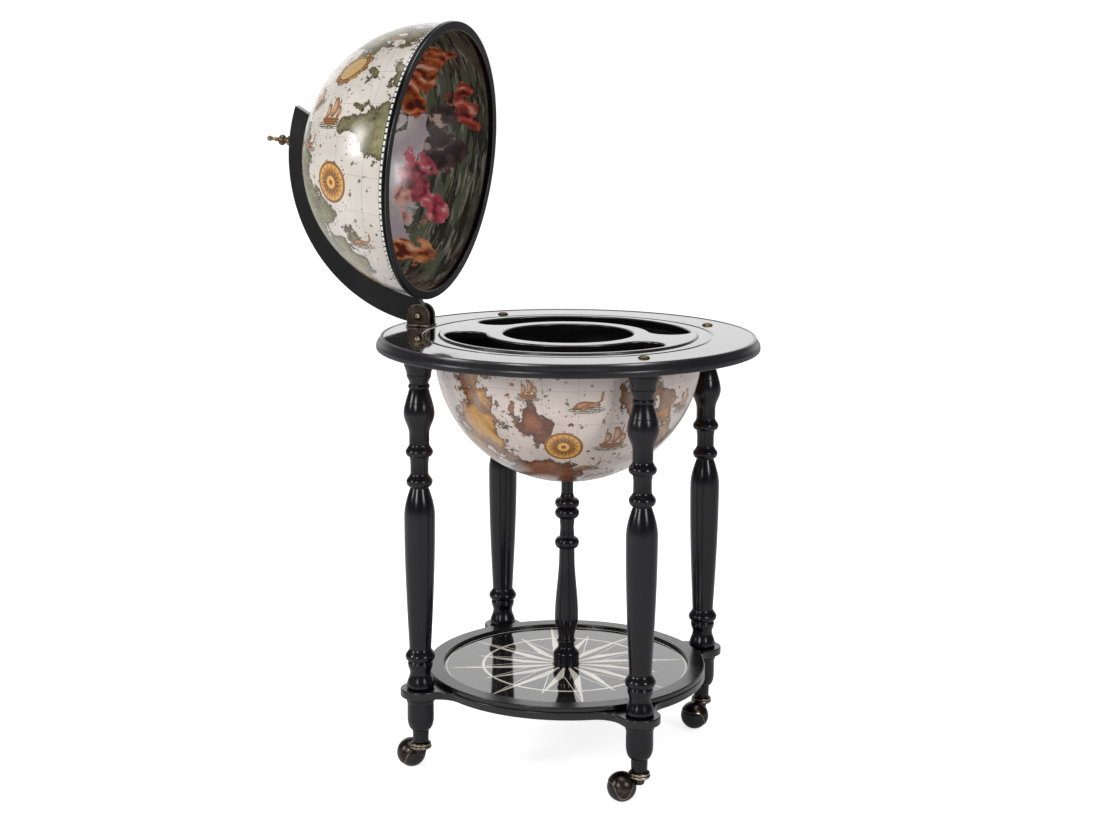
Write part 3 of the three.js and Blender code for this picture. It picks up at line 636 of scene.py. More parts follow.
def draw_panel(w, at):
    """An empty scrolled panel with a hatched ground."""
    x, y, _ = w.parts(at)
    lobes = w.wave(w.number("ARCTAN2", y, x), 10.0)
    frilled = w.line(w.noise(at, 7.0, 4.0, 0.7), 0.4, 0.86)
    out = w.both(w.oval(at, 0, 0, 1.0, 0.72), w.both(w.line(lobes, 0.06, 1.0), frilled))
    scroll = w.bridge(w.noise(at, 8.0, 4.0, 0.6, 1.5), 0.4, 0.6)
    colour = w.tint(scroll, paint(208, 160, 88), paint(118, 78, 40))
    colour = w.tint(w.above(out, 0.94), colour, paint(84, 58, 36))
    hatch = w.both(w.above(w.wave(y, 60.0), 0.1), w.above(w.noise(at, 14.0, 2.0), 0.44), 0.6)
    ground = w.tint(hatch, paint(214, 178, 118), paint(138, 98, 52))
    inner = w.oval(at, 0, 0, 0.7, 0.45)
    colour = w.tint(w.below(inner, 1.0), colour, ground)
    for reach, brown in ((1.0, 92), (1.16, 118)):
        colour = w.tint(w.near(inner, reach, 0.04), colour, paint(brown, 68, 34))
    return colour, w.below(out, 1.0)


MOTIFS = {"sun": motif("sun", draw_sun), "ship": motif("ship", draw_ship),
          "fish": motif("fish", draw_fish), "panel": motif("scrolled panel", draw_panel)}


def put(w, toward, colour, kind, around, up, size, turn):
    """Lays a motif on the chart, its size and turn in degrees."""
    axis = towards(around, up)
    right = Vector((0, 0, 1)).cross(axis).normalized()
    rise = axis.cross(right)
    along, aside = polar(1 / math.radians(size), turn)
    spot = w.point(w.dot(toward, right * along + rise * aside),
                   w.dot(toward, rise * along - right * aside))
    drawn = w.add("ShaderNodeGroup", spot, node_tree=MOTIFS[kind]).outputs
    near = w.above(w.dot(toward, axis), 0.8)
    return w.tint(w.both(near, drawn[1]), colour, drawn[0])


def land(w, toward, spots, ragged):
    """How far a point lies inside the coast, from round spots grown together."""
    field = None
    for around, up, size in spots:
        reach = math.radians(size)
        near = w.number("SUBTRACT", w.dot(toward, towards(around, up) / math.sin(reach)),
                        1 / math.tan(reach))
        field = near if field is None else w.number("SMOOTH_MAX", field, near, 0.15)
    return w.number("ADD", field, ragged)


def chart(name, centre, turn, seas, countries, motifs, radius, rim_line=False):
    """The varnished paper of the globe: pale sea, ragged coasts, islands, a thin net of
    lines and small pictures."""
    w = Finish(name, seas[0], 0.24, coat_weight=0.6, coat_roughness=0.2)
    local, toward = w.round_place(centre, turn)
    x, y, z = w.parts(toward)
    around = w.number("ARCTAN2", y, x)

    wash = w.noise(toward, 2.2, 4.0, 0.55)
    colour = w.tint(w.bridge(wash, 0.36, 0.66), *seas)
    ragged = w.line(w.noise(toward, 3.4, 12.0, 0.62), 1.3, -0.65)
    clusters = w.above(w.noise(toward, 2.9, 1.0), 0.44)
    jag = w.line(w.noise(toward, 70.0, 4.0, 0.7), 0.62, -0.1)
    for scale, share, brown in ((15.0, 0.45, 100), (30.0, 0.62, 84)):
        cells = w.cells(toward, scale)
        specks = w.both(w.above(w.parts(cells["Color"])[0], share), clusters,
                        w.below(cells["Distance"], jag), 0.85)
        colour = w.tint(specks, colour, paint(brown, 72, 52))

    every = 24 / TURN
    half_line = 0.3 / radius * every
    lines = [w.below(w.number("PINGPONG", w.line(angle, every, shift), 0.5), half_line)
             for angle, shift in ((around, 0.3), (w.number("ARCSINE", z), 0.4))]
    colour = w.tint(w.both(w.number("MAXIMUM", *lines), 0.45), colour, paint(120, 106, 92))

    for spots, edge, inner, patch in countries:
        field = land(w, toward, spots, ragged)
        colour = w.tint(w.bridge(field, -0.05, 0.0, 0.0, 0.4), colour, paint(168, 162, 146))
        regions = w.parts(w.cells(toward, 5.5)["Color"])[1]
        tone = w.tint(w.above(regions, 0.62), inner, patch)
        ground = w.noise(toward, 24.0, 4.0, 0.6)
        tone = w.tint(w.bridge(ground, 0.5, 0.75, 0.0, 0.55), tone, edge)
        tone = w.tint(w.bridge(field, 0.0, 0.16, 0.9, 0.0), tone, edge)
        islets = w.line(w.noise(toward, 17.0, 5.0, 0.6), 3.0, -1.92)
        offshore = w.line(w.bridge(field, -0.75, -0.3), 2.0, -2.0)
        field = w.number("MAXIMUM", field, w.number("ADD", islets, offshore))
        inside = w.above(field, 0.0)
        colour = w.tint(inside, colour, tone)
        streaks = w.noise(w.vector("MULTIPLY", toward, (9.0, 9.0, 40.0)), 3.0)
        colour = w.tint(w.both(inside, w.bridge(streaks, 0.56, 0.62), 0.4), colour, edge)
        coast = w.both(w.near(field, 0.0, 0.014), 0.9)
        colour = w.tint(coast, colour, paint(62, 48, 36))
    for placing in motifs:
        colour = put(w, toward, colour, *placing)

    if rim_line:
        height = w.parts(local)[2]
        dash = w.number("PINGPONG", w.both(around, 144 / TURN), 0.5)
        white = w.both(w.below(dash, 0.35), w.near(height, 1.95 * MM, 1.4 * MM))
        line = w.tint(white, paint(20, 18, 18), paint(252, 250, 244))
        colour = w.tint(w.below(height, 3.9 * MM), colour, line)
    w.coat(colour, w.line(wash, 0.12, 0.17))
    w.uneven(w.noise(toward, 9.0), 0.0004, 0.12)
    return w.material


OLIVE = (paint(92, 84, 52), paint(150, 146, 102), paint(134, 132, 100))
OCHRE = (paint(142, 88, 48), paint(206, 158, 96), paint(150, 132, 118))
RUSSET = (paint(96, 56, 38), paint(152, 94, 66), paint(128, 84, 66))

DOME_CENTRE = LID.to_translation()
DOME_TURN = LID.to_euler()
UNDER_RING = 1.7  # the bowl's centre under the ring's lower face
BOWL_CENTRE = Vector((*STAND.translation.xy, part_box("table_ring")[0].z - UNDER_RING * MM))
SEEN_FROM = polar(1, 19)  # where the bowl's chart starts: on the side that the photograph shows
BOWL_TURN = Matrix(((SEEN_FROM[0], SEEN_FROM[1], 0), (SEEN_FROM[1], -SEEN_FROM[0], 0),
                    (0, 0, -1))).to_euler()

DOME_CHART = chart(
    "dome chart", DOME_CENTRE, DOME_TURN, (paint(222, 214, 206), paint(208, 200, 190)),
    ((((32, 8, 11), (16, 8, 12), (66, 16, 14)), *OLIVE),
     (((-36, 46, 19), (-60, 34, 18), (-12, 54, 12), (-44, 24, 12)), *OLIVE),
     (((90, 55, 16), (130, 40, 20), (170, 20, 18), (215, 45, 22), (260, 25, 18)), *OLIVE)),
    (("sun", -10, 26, 8.5, 0), ("panel", 45, 27, 10, -62), ("ship", 22, 31, 8.5, -95),
     ("ship", 34, 46, 7.5, -80), ("fish", -34, 12, 7, -80), ("sun", -64, 18, 6, 0),
     ("fish", 6, 46, 7, -85), ("fish", 64, 12, 6, -90), ("sun", 100, 22, 8, 0),
     ("ship", 190, 50, 8, -90), ("panel", -120, 22, 10, -90), ("fish", -160, 50, 7, -90)),
    DOME, True)
BOWL_CHART = chart(
    "bowl chart", BOWL_CENTRE, BOWL_TURN, (paint(222, 207, 200), paint(206, 192, 184)),
    ((((40, 12, 15), (46, 32, 14), (30, 20, 8)), *OCHRE),
     (((-38, 16, 9), (-48, 32, 10)), *OCHRE),
     (((8, 62, 14), (-14, 70, 12)), *RUSSET),
     (((14, 22, 6), (18, 31, 5)), *RUSSET),
     (((110, 20, 22), (150, 30, 18), (200, 18, 16), (250, 25, 20)), *OCHRE)),
    (("sun", 2, 36, 8, 0), ("fish", -8, 14, 8.5, 180), ("ship", -22, 32, 8.5, 180),
     ("ship", 17, 9, 6, 180), ("fish", -12, 50, 7, 180), ("ship", -62, 18, 7, 180),
     ("sun", 80, 40, 9, 0), ("ship", 130, 55, 9, 180), ("sun", 225, 45, 9, 0),
     ("fish", 180, 40, 8, 180)), BOWL)

# Loose drapes inside the dome: the spots they are grown from, their dark and their light

DRAPES = (
    (((169, 22, 7), (177, 19, 7), (183, 22, 5)), paint(34, 24, 26), paint(88, 66, 62)),
    (((126, 20, 7), (134, 27, 7), (142, 32, 6), (150, 35, 4), (157, 35, 3)),
     paint(118, 42, 26), paint(216, 112, 62)),
    (((146, 17, 4), (152, 13, 5), (159, 10, 4), (165, 9, 3)),
     paint(124, 30, 34), paint(206, 88, 66)),
    (((190, 36, 4), (195, 33, 6), (201, 29, 6), (207, 24, 5), (211, 19, 3)),
     paint(132, 20, 38), paint(214, 88, 106)),
    (((209, 38, 3), (214, 35, 4), (219, 30, 3), (222, 25, 3)),
     paint(150, 70, 60), paint(232, 170, 150)),
    (((236, 20, 5), (241, 27, 6), (246, 35, 4), (248, 42, 3)),
     paint(138, 56, 28), paint(220, 144, 92)),
    (((284, 38, 7), (293, 34, 7), (301, 36, 5), (308, 41, 4)),
     paint(116, 72, 32), paint(222, 170, 96)),
    (((328, 40, 8), (338, 34, 7), (347, 33, 5), (354, 36, 3)),
     paint(50, 60, 88), paint(134, 148, 172)),
    (((28, 42, 7), (37, 36, 7), (45, 34, 5), (52, 37, 3)),
     paint(130, 28, 36), paint(212, 100, 92)),
    (((82, 34, 7), (91, 38, 6), (99, 43, 4)), paint(66, 80, 58), paint(156, 166, 122)))


def dome_painting():
    """The painted inside of the dome: a pale ground round the pole, dark leafy swirls along
    the rim and loose drapes between them. It shows nothing in particular."""
    w = Finish("painted inside", paint(150, 140, 150), 0.28, coat_weight=0.4, coat_roughness=0.15)
    _, toward = w.round_place(DOME_CENTRE, DOME_TURN)
    cloud = w.noise(toward, 2.6, 6.0, 0.55, 0.4)
    sky = w.tint(w.bridge(cloud, 0.36, 0.62), paint(188, 172, 178), paint(222, 212, 212))
    sky = w.tint(w.bridge(w.noise(toward, 1.4, 4.0), 0.5, 0.68, 0.0, 0.6), sky,
                 paint(206, 182, 160))
    leaf = w.noise(w.vector("MULTIPLY", toward, (1.2, 1.2, 8.0)), 2.2, 6.0, 0.6, 0.3)
    strand = w.noise(w.vector("MULTIPLY", toward, (1.4, 1.4, 13.0)), 2.4, 4.0, 0.6, 0.8)
    green = w.tint(w.bridge(leaf, 0.42, 0.56), paint(50, 46, 38), paint(98, 102, 82))
    green = w.tint(w.bridge(strand, 0.55, 0.64, 0.0, 0.7), green, paint(172, 174, 158))
    edge = w.line(w.noise(toward, 2.6, 8.0, 0.6), 1.1, -0.55)
    low = w.number("ADD", w.number("SUBTRACT", 0.56, w.parts(toward)[2]), edge)
    colour = w.tint(w.bridge(low, -0.01, 0.01), sky, green)
    sway = w.both(w.noise(toward, 3.0, 2.0), 34.0)
    pleat = w.number("SINE", w.number("ADD", w.dot(toward, (46.0, 30.0, 40.0)), sway))
    folds = w.line(pleat, 0.2, w.noise(toward, 11.0, 5.0, 0.6))
    flow = w.line(w.noise(toward, 4.2, 4.0, 0.55, 0.6), 0.7, -0.33)
    for spots, dark, light in DRAPES:
        field = land(w, toward, spots, flow)
        tone = w.tint(w.bridge(folds, 0.3, 0.62), dark, light)
        tone = w.tint(w.bridge(folds, 0.64, 0.74, 0.0, 0.7), tone, paint(240, 210, 196))
        tone = w.tint(w.bridge(folds, 0.36, 0.28, 0.0, 0.7), tone, paint(58, 28, 30))
        tone = w.tint(w.bridge(field, 0.09, 0.02, 0.0, 0.45), tone, light)
        colour = w.tint(w.bridge(field, 0.0, 0.012), colour, tone)
    w.coat(colour, w.line(leaf, 0.16, 0.2))
    w.uneven(leaf, 0.0003, 0.15)
    return w.material


DOME_PAINTING = dome_painting()


# Table ring, holder plate, bowl

def make_table():
    edge_from, bead_from, seat_to = 231.4 * MM, 226.8 * MM, 160.4 * MM
    slope = turning((("line", 0, 231.2), ("ease", 10.2, 235.9)))[1:]
    section = [(154.2, 514), (154.2, 521), (159.8, 521), (159.8, TABLE_TOP),
               *arc((177.5, TABLE_TOP), 2.5, 180, 0, 8, -1.5),
               *arc((229, TABLE_TOP), 2, 180, 0, 8, 0.8),
               *[(radius, TABLE_TOP - drop) for radius, drop in slope],
               *arc((234.1, 515.8), 1.9, 12, -90, 6), (165.3, 514), (165.3, 517), (160.7, 517),
               (160.7, 514)]
    ring = turned("table_top_ring", section, STAND, 192, True, 0.5)

    # The outer edge gets the lighter edge lacquer (painted sheen); the bead and the seat get the
    # lighter rim lacquer (painted highlight).
    def finish_of(spot, _):
        out = (spot - STAND.translation).xy.length
        return 1 if out > edge_from else 2 if out > bead_from or out < seat_to else 0

    choose(ring, finish_of)
    finished(ring, "stand", "table_lacquer", [TABLE_GLOSS, EDGE_SHEEN_GLOSS, RIM_HIGHLIGHT_GLOSS], "table_ring")


def slot_outline(turn):
    """A kidney slot with its middle at a turn round the plate."""
    outer, inner, reach = 152.8, 101.0, 63.5
    mean, half = (outer + inner) / 2, (outer - inner) / 2
    first, last = turn - reach, turn + reach
    points = [*arc((0, 0), outer, first, last, 48),
              *arc(polar(mean, last), half, last, last + 180, 24)[1:-1],
              *arc((0, 0), inner, last, first, 40),
              *arc(polar(mean, first), half, first + 180, first + 360, 24)[1:-1]]
    return points[::-1]


def make_plate():
    plate = sawn("bottle_plate", disc(159.5, 160),
                 [hole(80.5, 128), slot_outline(0), slot_outline(180)], 521.3, 531.0, 1.9, STAND)
    # The plate's rounded edges get the lighter rim lacquer: a painted highlight round the plate
    # and its holes.
    choose(plate, lambda _, normal: 0.02 < normal.z < 0.985)
    finished(plate, "stand", "table_lacquer", [TABLE_GLOSS, RIM_HIGHLIGHT_GLOSS], "holder_plate")


def shell(name, radius, pad, pole_hole, rim, place):
    """Half of the globe with its pole up; the inside faces get the second finish."""
    outside, inside = [arc((0, 0), reach, 0, math.degrees(math.acos(pad / reach)), 64)
                       for reach in (radius, radius - WALL)]
    outline = [(radius - WALL, -rim), (radius, -rim), *outside, (pole_hole, outside[-1][1]),
               (pole_hole, inside[-1][1]), *inside[::-1]]
    shape = bmesh.new()
    revolve(shape, outline, 160, True)
    for face in shape.faces:
        face.material_index = int(face.calc_center_median().length < (radius - WALL / 2) * MM)
    return body_of(name, shape, place)


def make_bowl():
    place = Matrix.Translation(BOWL_CENTRE) @ Matrix.Rotation(math.pi, 4, "X")
    bowl = shell("globe_bowl", BOWL, 12, 2.8, 4.4, place)
    finished(bowl, "stand", "bowl_print", [BOWL_CHART, INNER_BLACK_AND_SHADE], "bowl")


# Legs, feet and spindle

LEG = (("line", 106.3, 14.7), ("roll", 108.8, 16.9), ("ease", 126, 12.8), ("ease", 135.4, 15.1),
       ("line", 137.2, 15.3), ("ease", 140.4, 13.8), ("roll", 146.2, 18.2), ("ease", 156.5, 13.3),
       ("swell", 320, 18.6), ("shoulder", 355.4, 11.0), ("line", 356.4, 11.2),
       ("roll", 363.2, 15.8), ("ease", 373, 10.9), ("line", 384, 10.8), ("ease", 393.4, 11.7),
       ("roll", 399.2, 16.5), ("ease", 409, 12.1), ("line", 421, 12.1), ("ease", 446, 18.6),
       ("shoulder", 459.4, 16.3), ("line", 459.8, 15.8), ("line", 460.2, 16.1),
       ("line", 475.4, 11.7), ("line", 476, 11.2), ("bead", 481.6, 11.2, 12.9),
       ("ease", 492.6, 14.7), ("line", 493.0, 14.2), ("line", 493.4, 14.8),
       ("ease", 507, 18), ("line", 513.7, 18))
FOOT = (("line", 37.5, 9.5), ("line", 53.2, 10), ("roll", 69, 16.2), ("line", 86, 16.1),
        ("ease", 92.4, 17.7), ("line", 95.9, 17.5))
SPINDLE = (("line", 106.3, 16.2), ("line", 122.6, 16.3), ("ease", 132.4, 10.2),
           ("line", 137.4, 10.1), ("bead", 142, 9.9, 11.5), ("ease", 168.7, 14.8),
           ("ease", 252.5, 9.7), ("line", 259, 9.5), ("bead", 273.4, 9.3, 15.2),
           ("ease", 285, 8.6), ("ease", 297.6, 9.4), ("bead", 310.6, 9.7, 15.2),
           ("bead", 323.4, 8.8, 15.3), ("ease", 331, 7.5), ("line", 347.4, 7.5))


def make_legs():
    kinds = (("leg", LEG, 0.5), ("foot", FOOT, 0.8))
    pieces = [(f"turned_{kind}_{letter}", rows, upright(f"leg_{letter}"), edge, f"{kind}_{letter}")
              for letter in CORNERS for kind, rows, edge in kinds]
    pieces.append(("turned_spindle", SPINDLE, STAND, 0.8, "centre_spindle"))
    for name, rows, place, edge, node in pieces:
        piece = turned(name, solid(turning(rows)), place, edge=edge)
        finished(piece, "stand", "black_lacquer", [BLACK_GLOSS], node)


def make_leg_screws():
    """Four domed brass screws with a cross in the head, set round the table ring."""
    skirt, cross_half, cross_reach, cross_depth = 0.6, 0.75, 3.6, 0.9
    outline = [(0, -20), (2.4, -20), (2.4, 0), (7, 0), (7, 0.5),
               *arc((0, skirt), 6.4, 0, 90, 10, 2)[:-1], (0, skirt + 2)]
    shape = bmesh.new()
    revolve(shape, outline, 48, False)
    bmesh.ops.remove_doubles(shape, verts=shape.verts, dist=1e-7)
    for vert in shape.verts:
        spread, slim = sorted((abs(vert.co.x), abs(vert.co.y)), reverse=True)
        if vert.co.z > skirt * MM and slim < cross_half * MM and spread < cross_reach * MM:
            vert.co.z -= cross_depth * MM
    screws = set_round("leg_screws", body_of("screw", shape), 4, LEG_CIRCLE, 45, BRASS,
                       STAND @ raised(TABLE_TOP + GAP))
    finished(screws, "stand", "brass", [BRASS], *[f"leg_screw_{letter}" for letter in CORNERS])


# Tray

def tray_outline():
    """A disc with an ear round each leg, and a hollow curve on each side of an ear."""
    radius, ear, fillet = 174.5, 24.5, 30.0
    reach, span = radius + fillet, ear + fillet
    beside = math.degrees(math.acos((reach ** 2 + LEG_CIRCLE ** 2 - span ** 2)
                                    / (2 * reach * LEG_CIRCLE)))
    points = []
    for turn in (45, 135, 225, 315):
        first, last = turn - beside, turn + beside
        spot = Vector(polar(LEG_CIRCLE, turn))
        before, after = Vector(polar(reach, first)), Vector(polar(reach, last))
        leave = math.degrees(math.atan2(*(before - spot).yx))
        arrive = math.degrees(math.atan2(*(after - spot).yx))
        bend = (leave - first) % 360 - 360
        points += arc(before, fillet, first + 180, first + 180 + bend, 14)[:-1]
        points += arc(spot, ear, leave, leave + (arrive - leave) % 360, 40)[:-1]
        points += arc(after, fillet, arrive + 180, arrive + 180 + bend, 14)[:-1]
        points += arc((0, 0), radius, last, turn + 90 - beside, 20)[:-1]
    return points


def make_tray():
    board = sawn("tray_board", tray_outline(), [hole(2.8, 16)], 96.2, 106.0, 1.4, STAND)
    finished(board, "stand", "black_lacquer", [TRAY_GLOSS], "tray_base")
    rim = band("tray_rim", 154, 174.5, TRAY_SEAT, 112.4, STAND, 192, 1.5)
    finished(rim, "stand", "black_lacquer", [TRAY_GLOSS], "tray_ring")
    panel = band("rose_panel", 16.6, 153.7, TRAY_SEAT, PANEL_TOP, STAND, 160, 0.3)
    finished(panel, "stand", "panel_print", [PANEL], "tray_panel")


def thin(name, outline):
    """A thin flat piece of print, closed on all sides."""
    shape = bmesh.new()
    low, high = [[shape.verts.new((x * MM, y * MM, height * MM)) for x, y in outline]
                 for height in (-0.02, 0.05)]
    shape.faces.new(high)
    shape.faces.new(low[::-1])
    skin(shape, low, high)
    return body_of(name, shape)


def make_rose():
    """The compass rose: eight long rays and eight short ones, each with one half filled and the
    other drawn as a line, over a ring and inside a thin border."""
    top = STAND @ raised(PANEL_TOP)
    waist, low = polar(52, 11.25), polar(52, -11.25)
    made = []
    for first, tip in ((27, 150), (4.5, 119)):
        half = thin("half", [(tip, 0), waist, (17.5, 3.2), (17.5, 0.2)])
        made.append(set_round("filled_rays", half, 8, 0, first, ROSE, top))
        line = thin("line", [low, (low[0] + 0.8, low[1] + 1.35), (tip - 10, 0), (tip, 0)])
        made.append(set_round("drawn_rays", line, 8, 0, first, ROSE, top))
    for inner, outer in ((102.9, 106.3), (150.2, 151.6)):
        made.append(band("ring", inner, outer, -0.02, 0.04, top, 160, 0))
    finished(body_of("compass_rose", taken(*made)), "stand", "panel_print", [ROSE])


# Hinge

def make_hinge():
    ear_radius, foot_low, at_pin = 15.3, -13.7, Matrix.Translation(PIN)
    ear = [(-ear_radius, foot_low), (ear_radius, foot_low), *arc((0, 0), ear_radius, 0, 180, 40)]
    ears = [sawn("ear", ear, [hole(BOLT_HOLE, 24)], low, low + 3.6, 0.9, at_pin @ SIDEWAYS)
            for low in (6.9, -10.5)]
    shape = bmesh.new()
    block(shape, (-7.2, -ear_radius, foot_low), (7.2, ear_radius, -10.8), 0.3)
    block(shape, (-11.7, -16.5, foot_low), (11.7, 16.5, -11.2), 0.7)
    clevis = body_of("hinge_clevis", taken(*ears, body_of("floor", shape, at_pin)))
    # The rounded edges of the ears get the brighter bronze: wear and a painted highlight.
    choose(clevis, lambda _, normal: 0.2 < abs(normal.x) < 0.97
           and max(abs(normal.y), abs(normal.z)) < 0.97)
    finished(clevis, "stand", "antique_bronze", [BRONZE, WORN_AND_HIGHLIGHT], "hinge_bracket")

    side = [(3, 10.8), (5, 10.8), *arc((0, 10.9), 5, 0, 90, 8, 1.9)[:-1], (0, 12.8)]
    outline = [(radius, -out) for radius, out in side[::-1]] + side
    pin = turned("hinge_rivet", outline, at_pin @ Matrix.Rotation(math.pi / 2, 4, "Y"), 40,
                 edge=0.2)
    # The middle of the rivet is painted bright: a painted highlight.
    choose(pin, lambda spot, _: (spot - PIN).yz.length < 2.4 * MM)
    finished(pin, "stand", "brass", [BRONZE, WORN_AND_HIGHLIGHT], "hinge_pin")


# Lid: arm, finial, dome and lip, drawn closed about the dome's centre

FINIAL = (("line", 0, 6.4), ("line", 2.8, 6.4), ("ease", 5.2, 4.4), ("line", 5.6, 3.2),
          ("line", 6.6, 3.0), ("bead", 8.2, 3.0, 3.8), ("bead", 16.2, 2.6, 7.0),
          ("bead", 18.2, 2.3, 2.9), ("line", 19.4, 2.1), ("bead", 22.2, 2.0, 2.9),
          ("ease", 26.2, 1.8), ("bead", 27.6, 1.8, 2.5), ("bead", 33.6, 0, 3.5))


def make_arm():
    pin, centre = (HINGE_REACH, LID_DROP), (0, 0)
    outer, inner, heel, half_thick = 207.624, 175.6, 10.5, 6.1
    start = math.degrees(math.atan2(LID_DROP, HINGE_REACH))
    out_flat, in_flat = [math.degrees(math.asin(ARM_FLAT / radius)) for radius in (outer, inner)]
    foot = math.degrees(math.asin((LID_DROP + 4) / inner))
    outline = [*arc(pin, heel, start - 150, start, 24)[:-1],
               *arc(centre, outer, start, 90 - out_flat, 90),
               *arc(centre, outer, 90 + out_flat, 102.8, 12),
               *arc(centre, inner, 100.8, 90 + in_flat, 12),
               *arc(centre, inner, 90 - in_flat, foot, 90)]
    arm = sawn("meridian_arm", outline, [hole(BOLT_HOLE, 24, pin)], -half_thick, half_thick, 0.8,
               LID @ SIDEWAYS)
    # The arm's edges and their rounding get the lighter rim lacquer: a painted highlight.
    choose(arm, lambda _, normal: abs(normal.x) < 0.97)
    finished(arm, "lid", "satin_black", [SATIN, RIM_HIGHLIGHT_GLOSS], "lid_arm")

    washer, nut, bolt_past_nut, bolt = 1.5, 5, 1.9, 2.9
    seat = level(outer, ARM_FLAT) + GAP
    washer_top = level(DOME - WALL, DOME_PAD) - GAP
    nut_top = washer_top - washer - GAP
    end = nut_top - nut - bolt_past_nut - seat
    finial = turned("finial", [(0, end), (bolt, end), (bolt, 0), *turning(FINIAL)],
                    LID @ raised(seat), 40, edge=0.25)
    finished(finial, "lid", "brass", [BRASS], "finial_bolt")
    spacer = band("arm_spacer", BOLT_HOLE, 8, level(DOME, DOME_PAD) + GAP,
                  level(inner, ARM_FLAT) - GAP, LID, 40, 0.6)
    finished(spacer, "lid", "antique_bronze", [BRONZE], "pole_spacer")
    ring = band("inner_washer", BOLT_HOLE, 9, washer_top - washer, washer_top, LID, 48, 0.5)
    finished(ring, "lid", "brass", [BRASS], "pole_washer")
    six = sawn("inner_nut", disc(6.4, 6), [hole(BOLT_HOLE, 24)], nut_top - nut, nut_top, 0.5, LID)
    finished(six, "lid", "brass", [BRASS], "pole_nut")


def make_dome():
    dome = shell("globe_dome", DOME, DOME_PAD, BOLT_HOLE, 3, LID)
    finished(dome, "globe_half", "dome_print", [DOME_CHART, DOME_PAINTING], "dome")
    section = [(162.7, -6.4), (173.7, -6.4), (173.7, -0.2), (170.8, -0.2), (170.8, -3.3),
               (166.2, -3.3), (165.9, 2), (162.7, 2)]
    lip = turned("black_lip", section, Matrix(), 192, True, 1.1)
    # The lip's rounded edges get the lighter rim lacquer: a painted highlight.
    choose(lip, lambda _, normal: 0.1 < abs(normal.z) < 0.97)
    lip.data.transform(LID)
    finished(lip, "globe_half", "black_lacquer", [LIP_GLOSS, RIM_HIGHLIGHT_GLOSS], "dome_lip")


# Casters, drawn with the stem on the axis and the ball towards +X

BALL, BALL_OUT, BALL_TILT, HORN_TOP = 17.5, 20.3, 127, 29.5
HORN, HORN_HEIGHT = 6.8, 9.5
HORN_SHARES = ((0, 0), (0.4, 0.02), (0.7, 0.1), (0.88, 0.22), (0.97, 0.4), (1, 0.65), (1, 1))
STEM = (("line", 29.8, 12.4), ("bead", 33.3, 12, 13.2), ("bead", 36.4, 11.4, 12.6),
        ("line", 37.2, 10.8))


def hood_shell(ball_centre):
    """The cap over the ball, with a lobe on one side that comes down to the axle."""
    shape = bmesh.new()
    around, rows, lobe = 72, 22, math.radians(97)
    grids = []
    for radius in (18.2, 17.7):
        grid = [[shape.verts.new((ball_centre + Vector((0, 0, radius))) * MM)]]
        for row in range(1, rows + 1):
            ring = []
            for side in range(around):
                turn = TURN * side / around
                off = abs((turn - lobe + math.pi) % TURN - math.pi) / math.radians(33)
                down = math.radians(66 + 60 * math.exp(-off ** 3)) * row / rows
                out = Vector((math.sin(down) * math.cos(turn), math.sin(down) * math.sin(turn),
                              math.cos(down)))
                ring.append(shape.verts.new((ball_centre + out * radius) * MM))
            grid.append(ring)
        # The hood's rim, its last row and the faces between the two shells, gets the brighter
        # bronze: wear and a painted highlight.
        for low, high in zip(grid, grid[1:]):
            for face in skin(shape, low, high):
                face.material_index = int(high is grid[-1])
        grids.append(grid)
    for face in skin(shape, grids[0][-1], grids[1][-1]):
        face.material_index = 1
    return body_of("hood", shape)


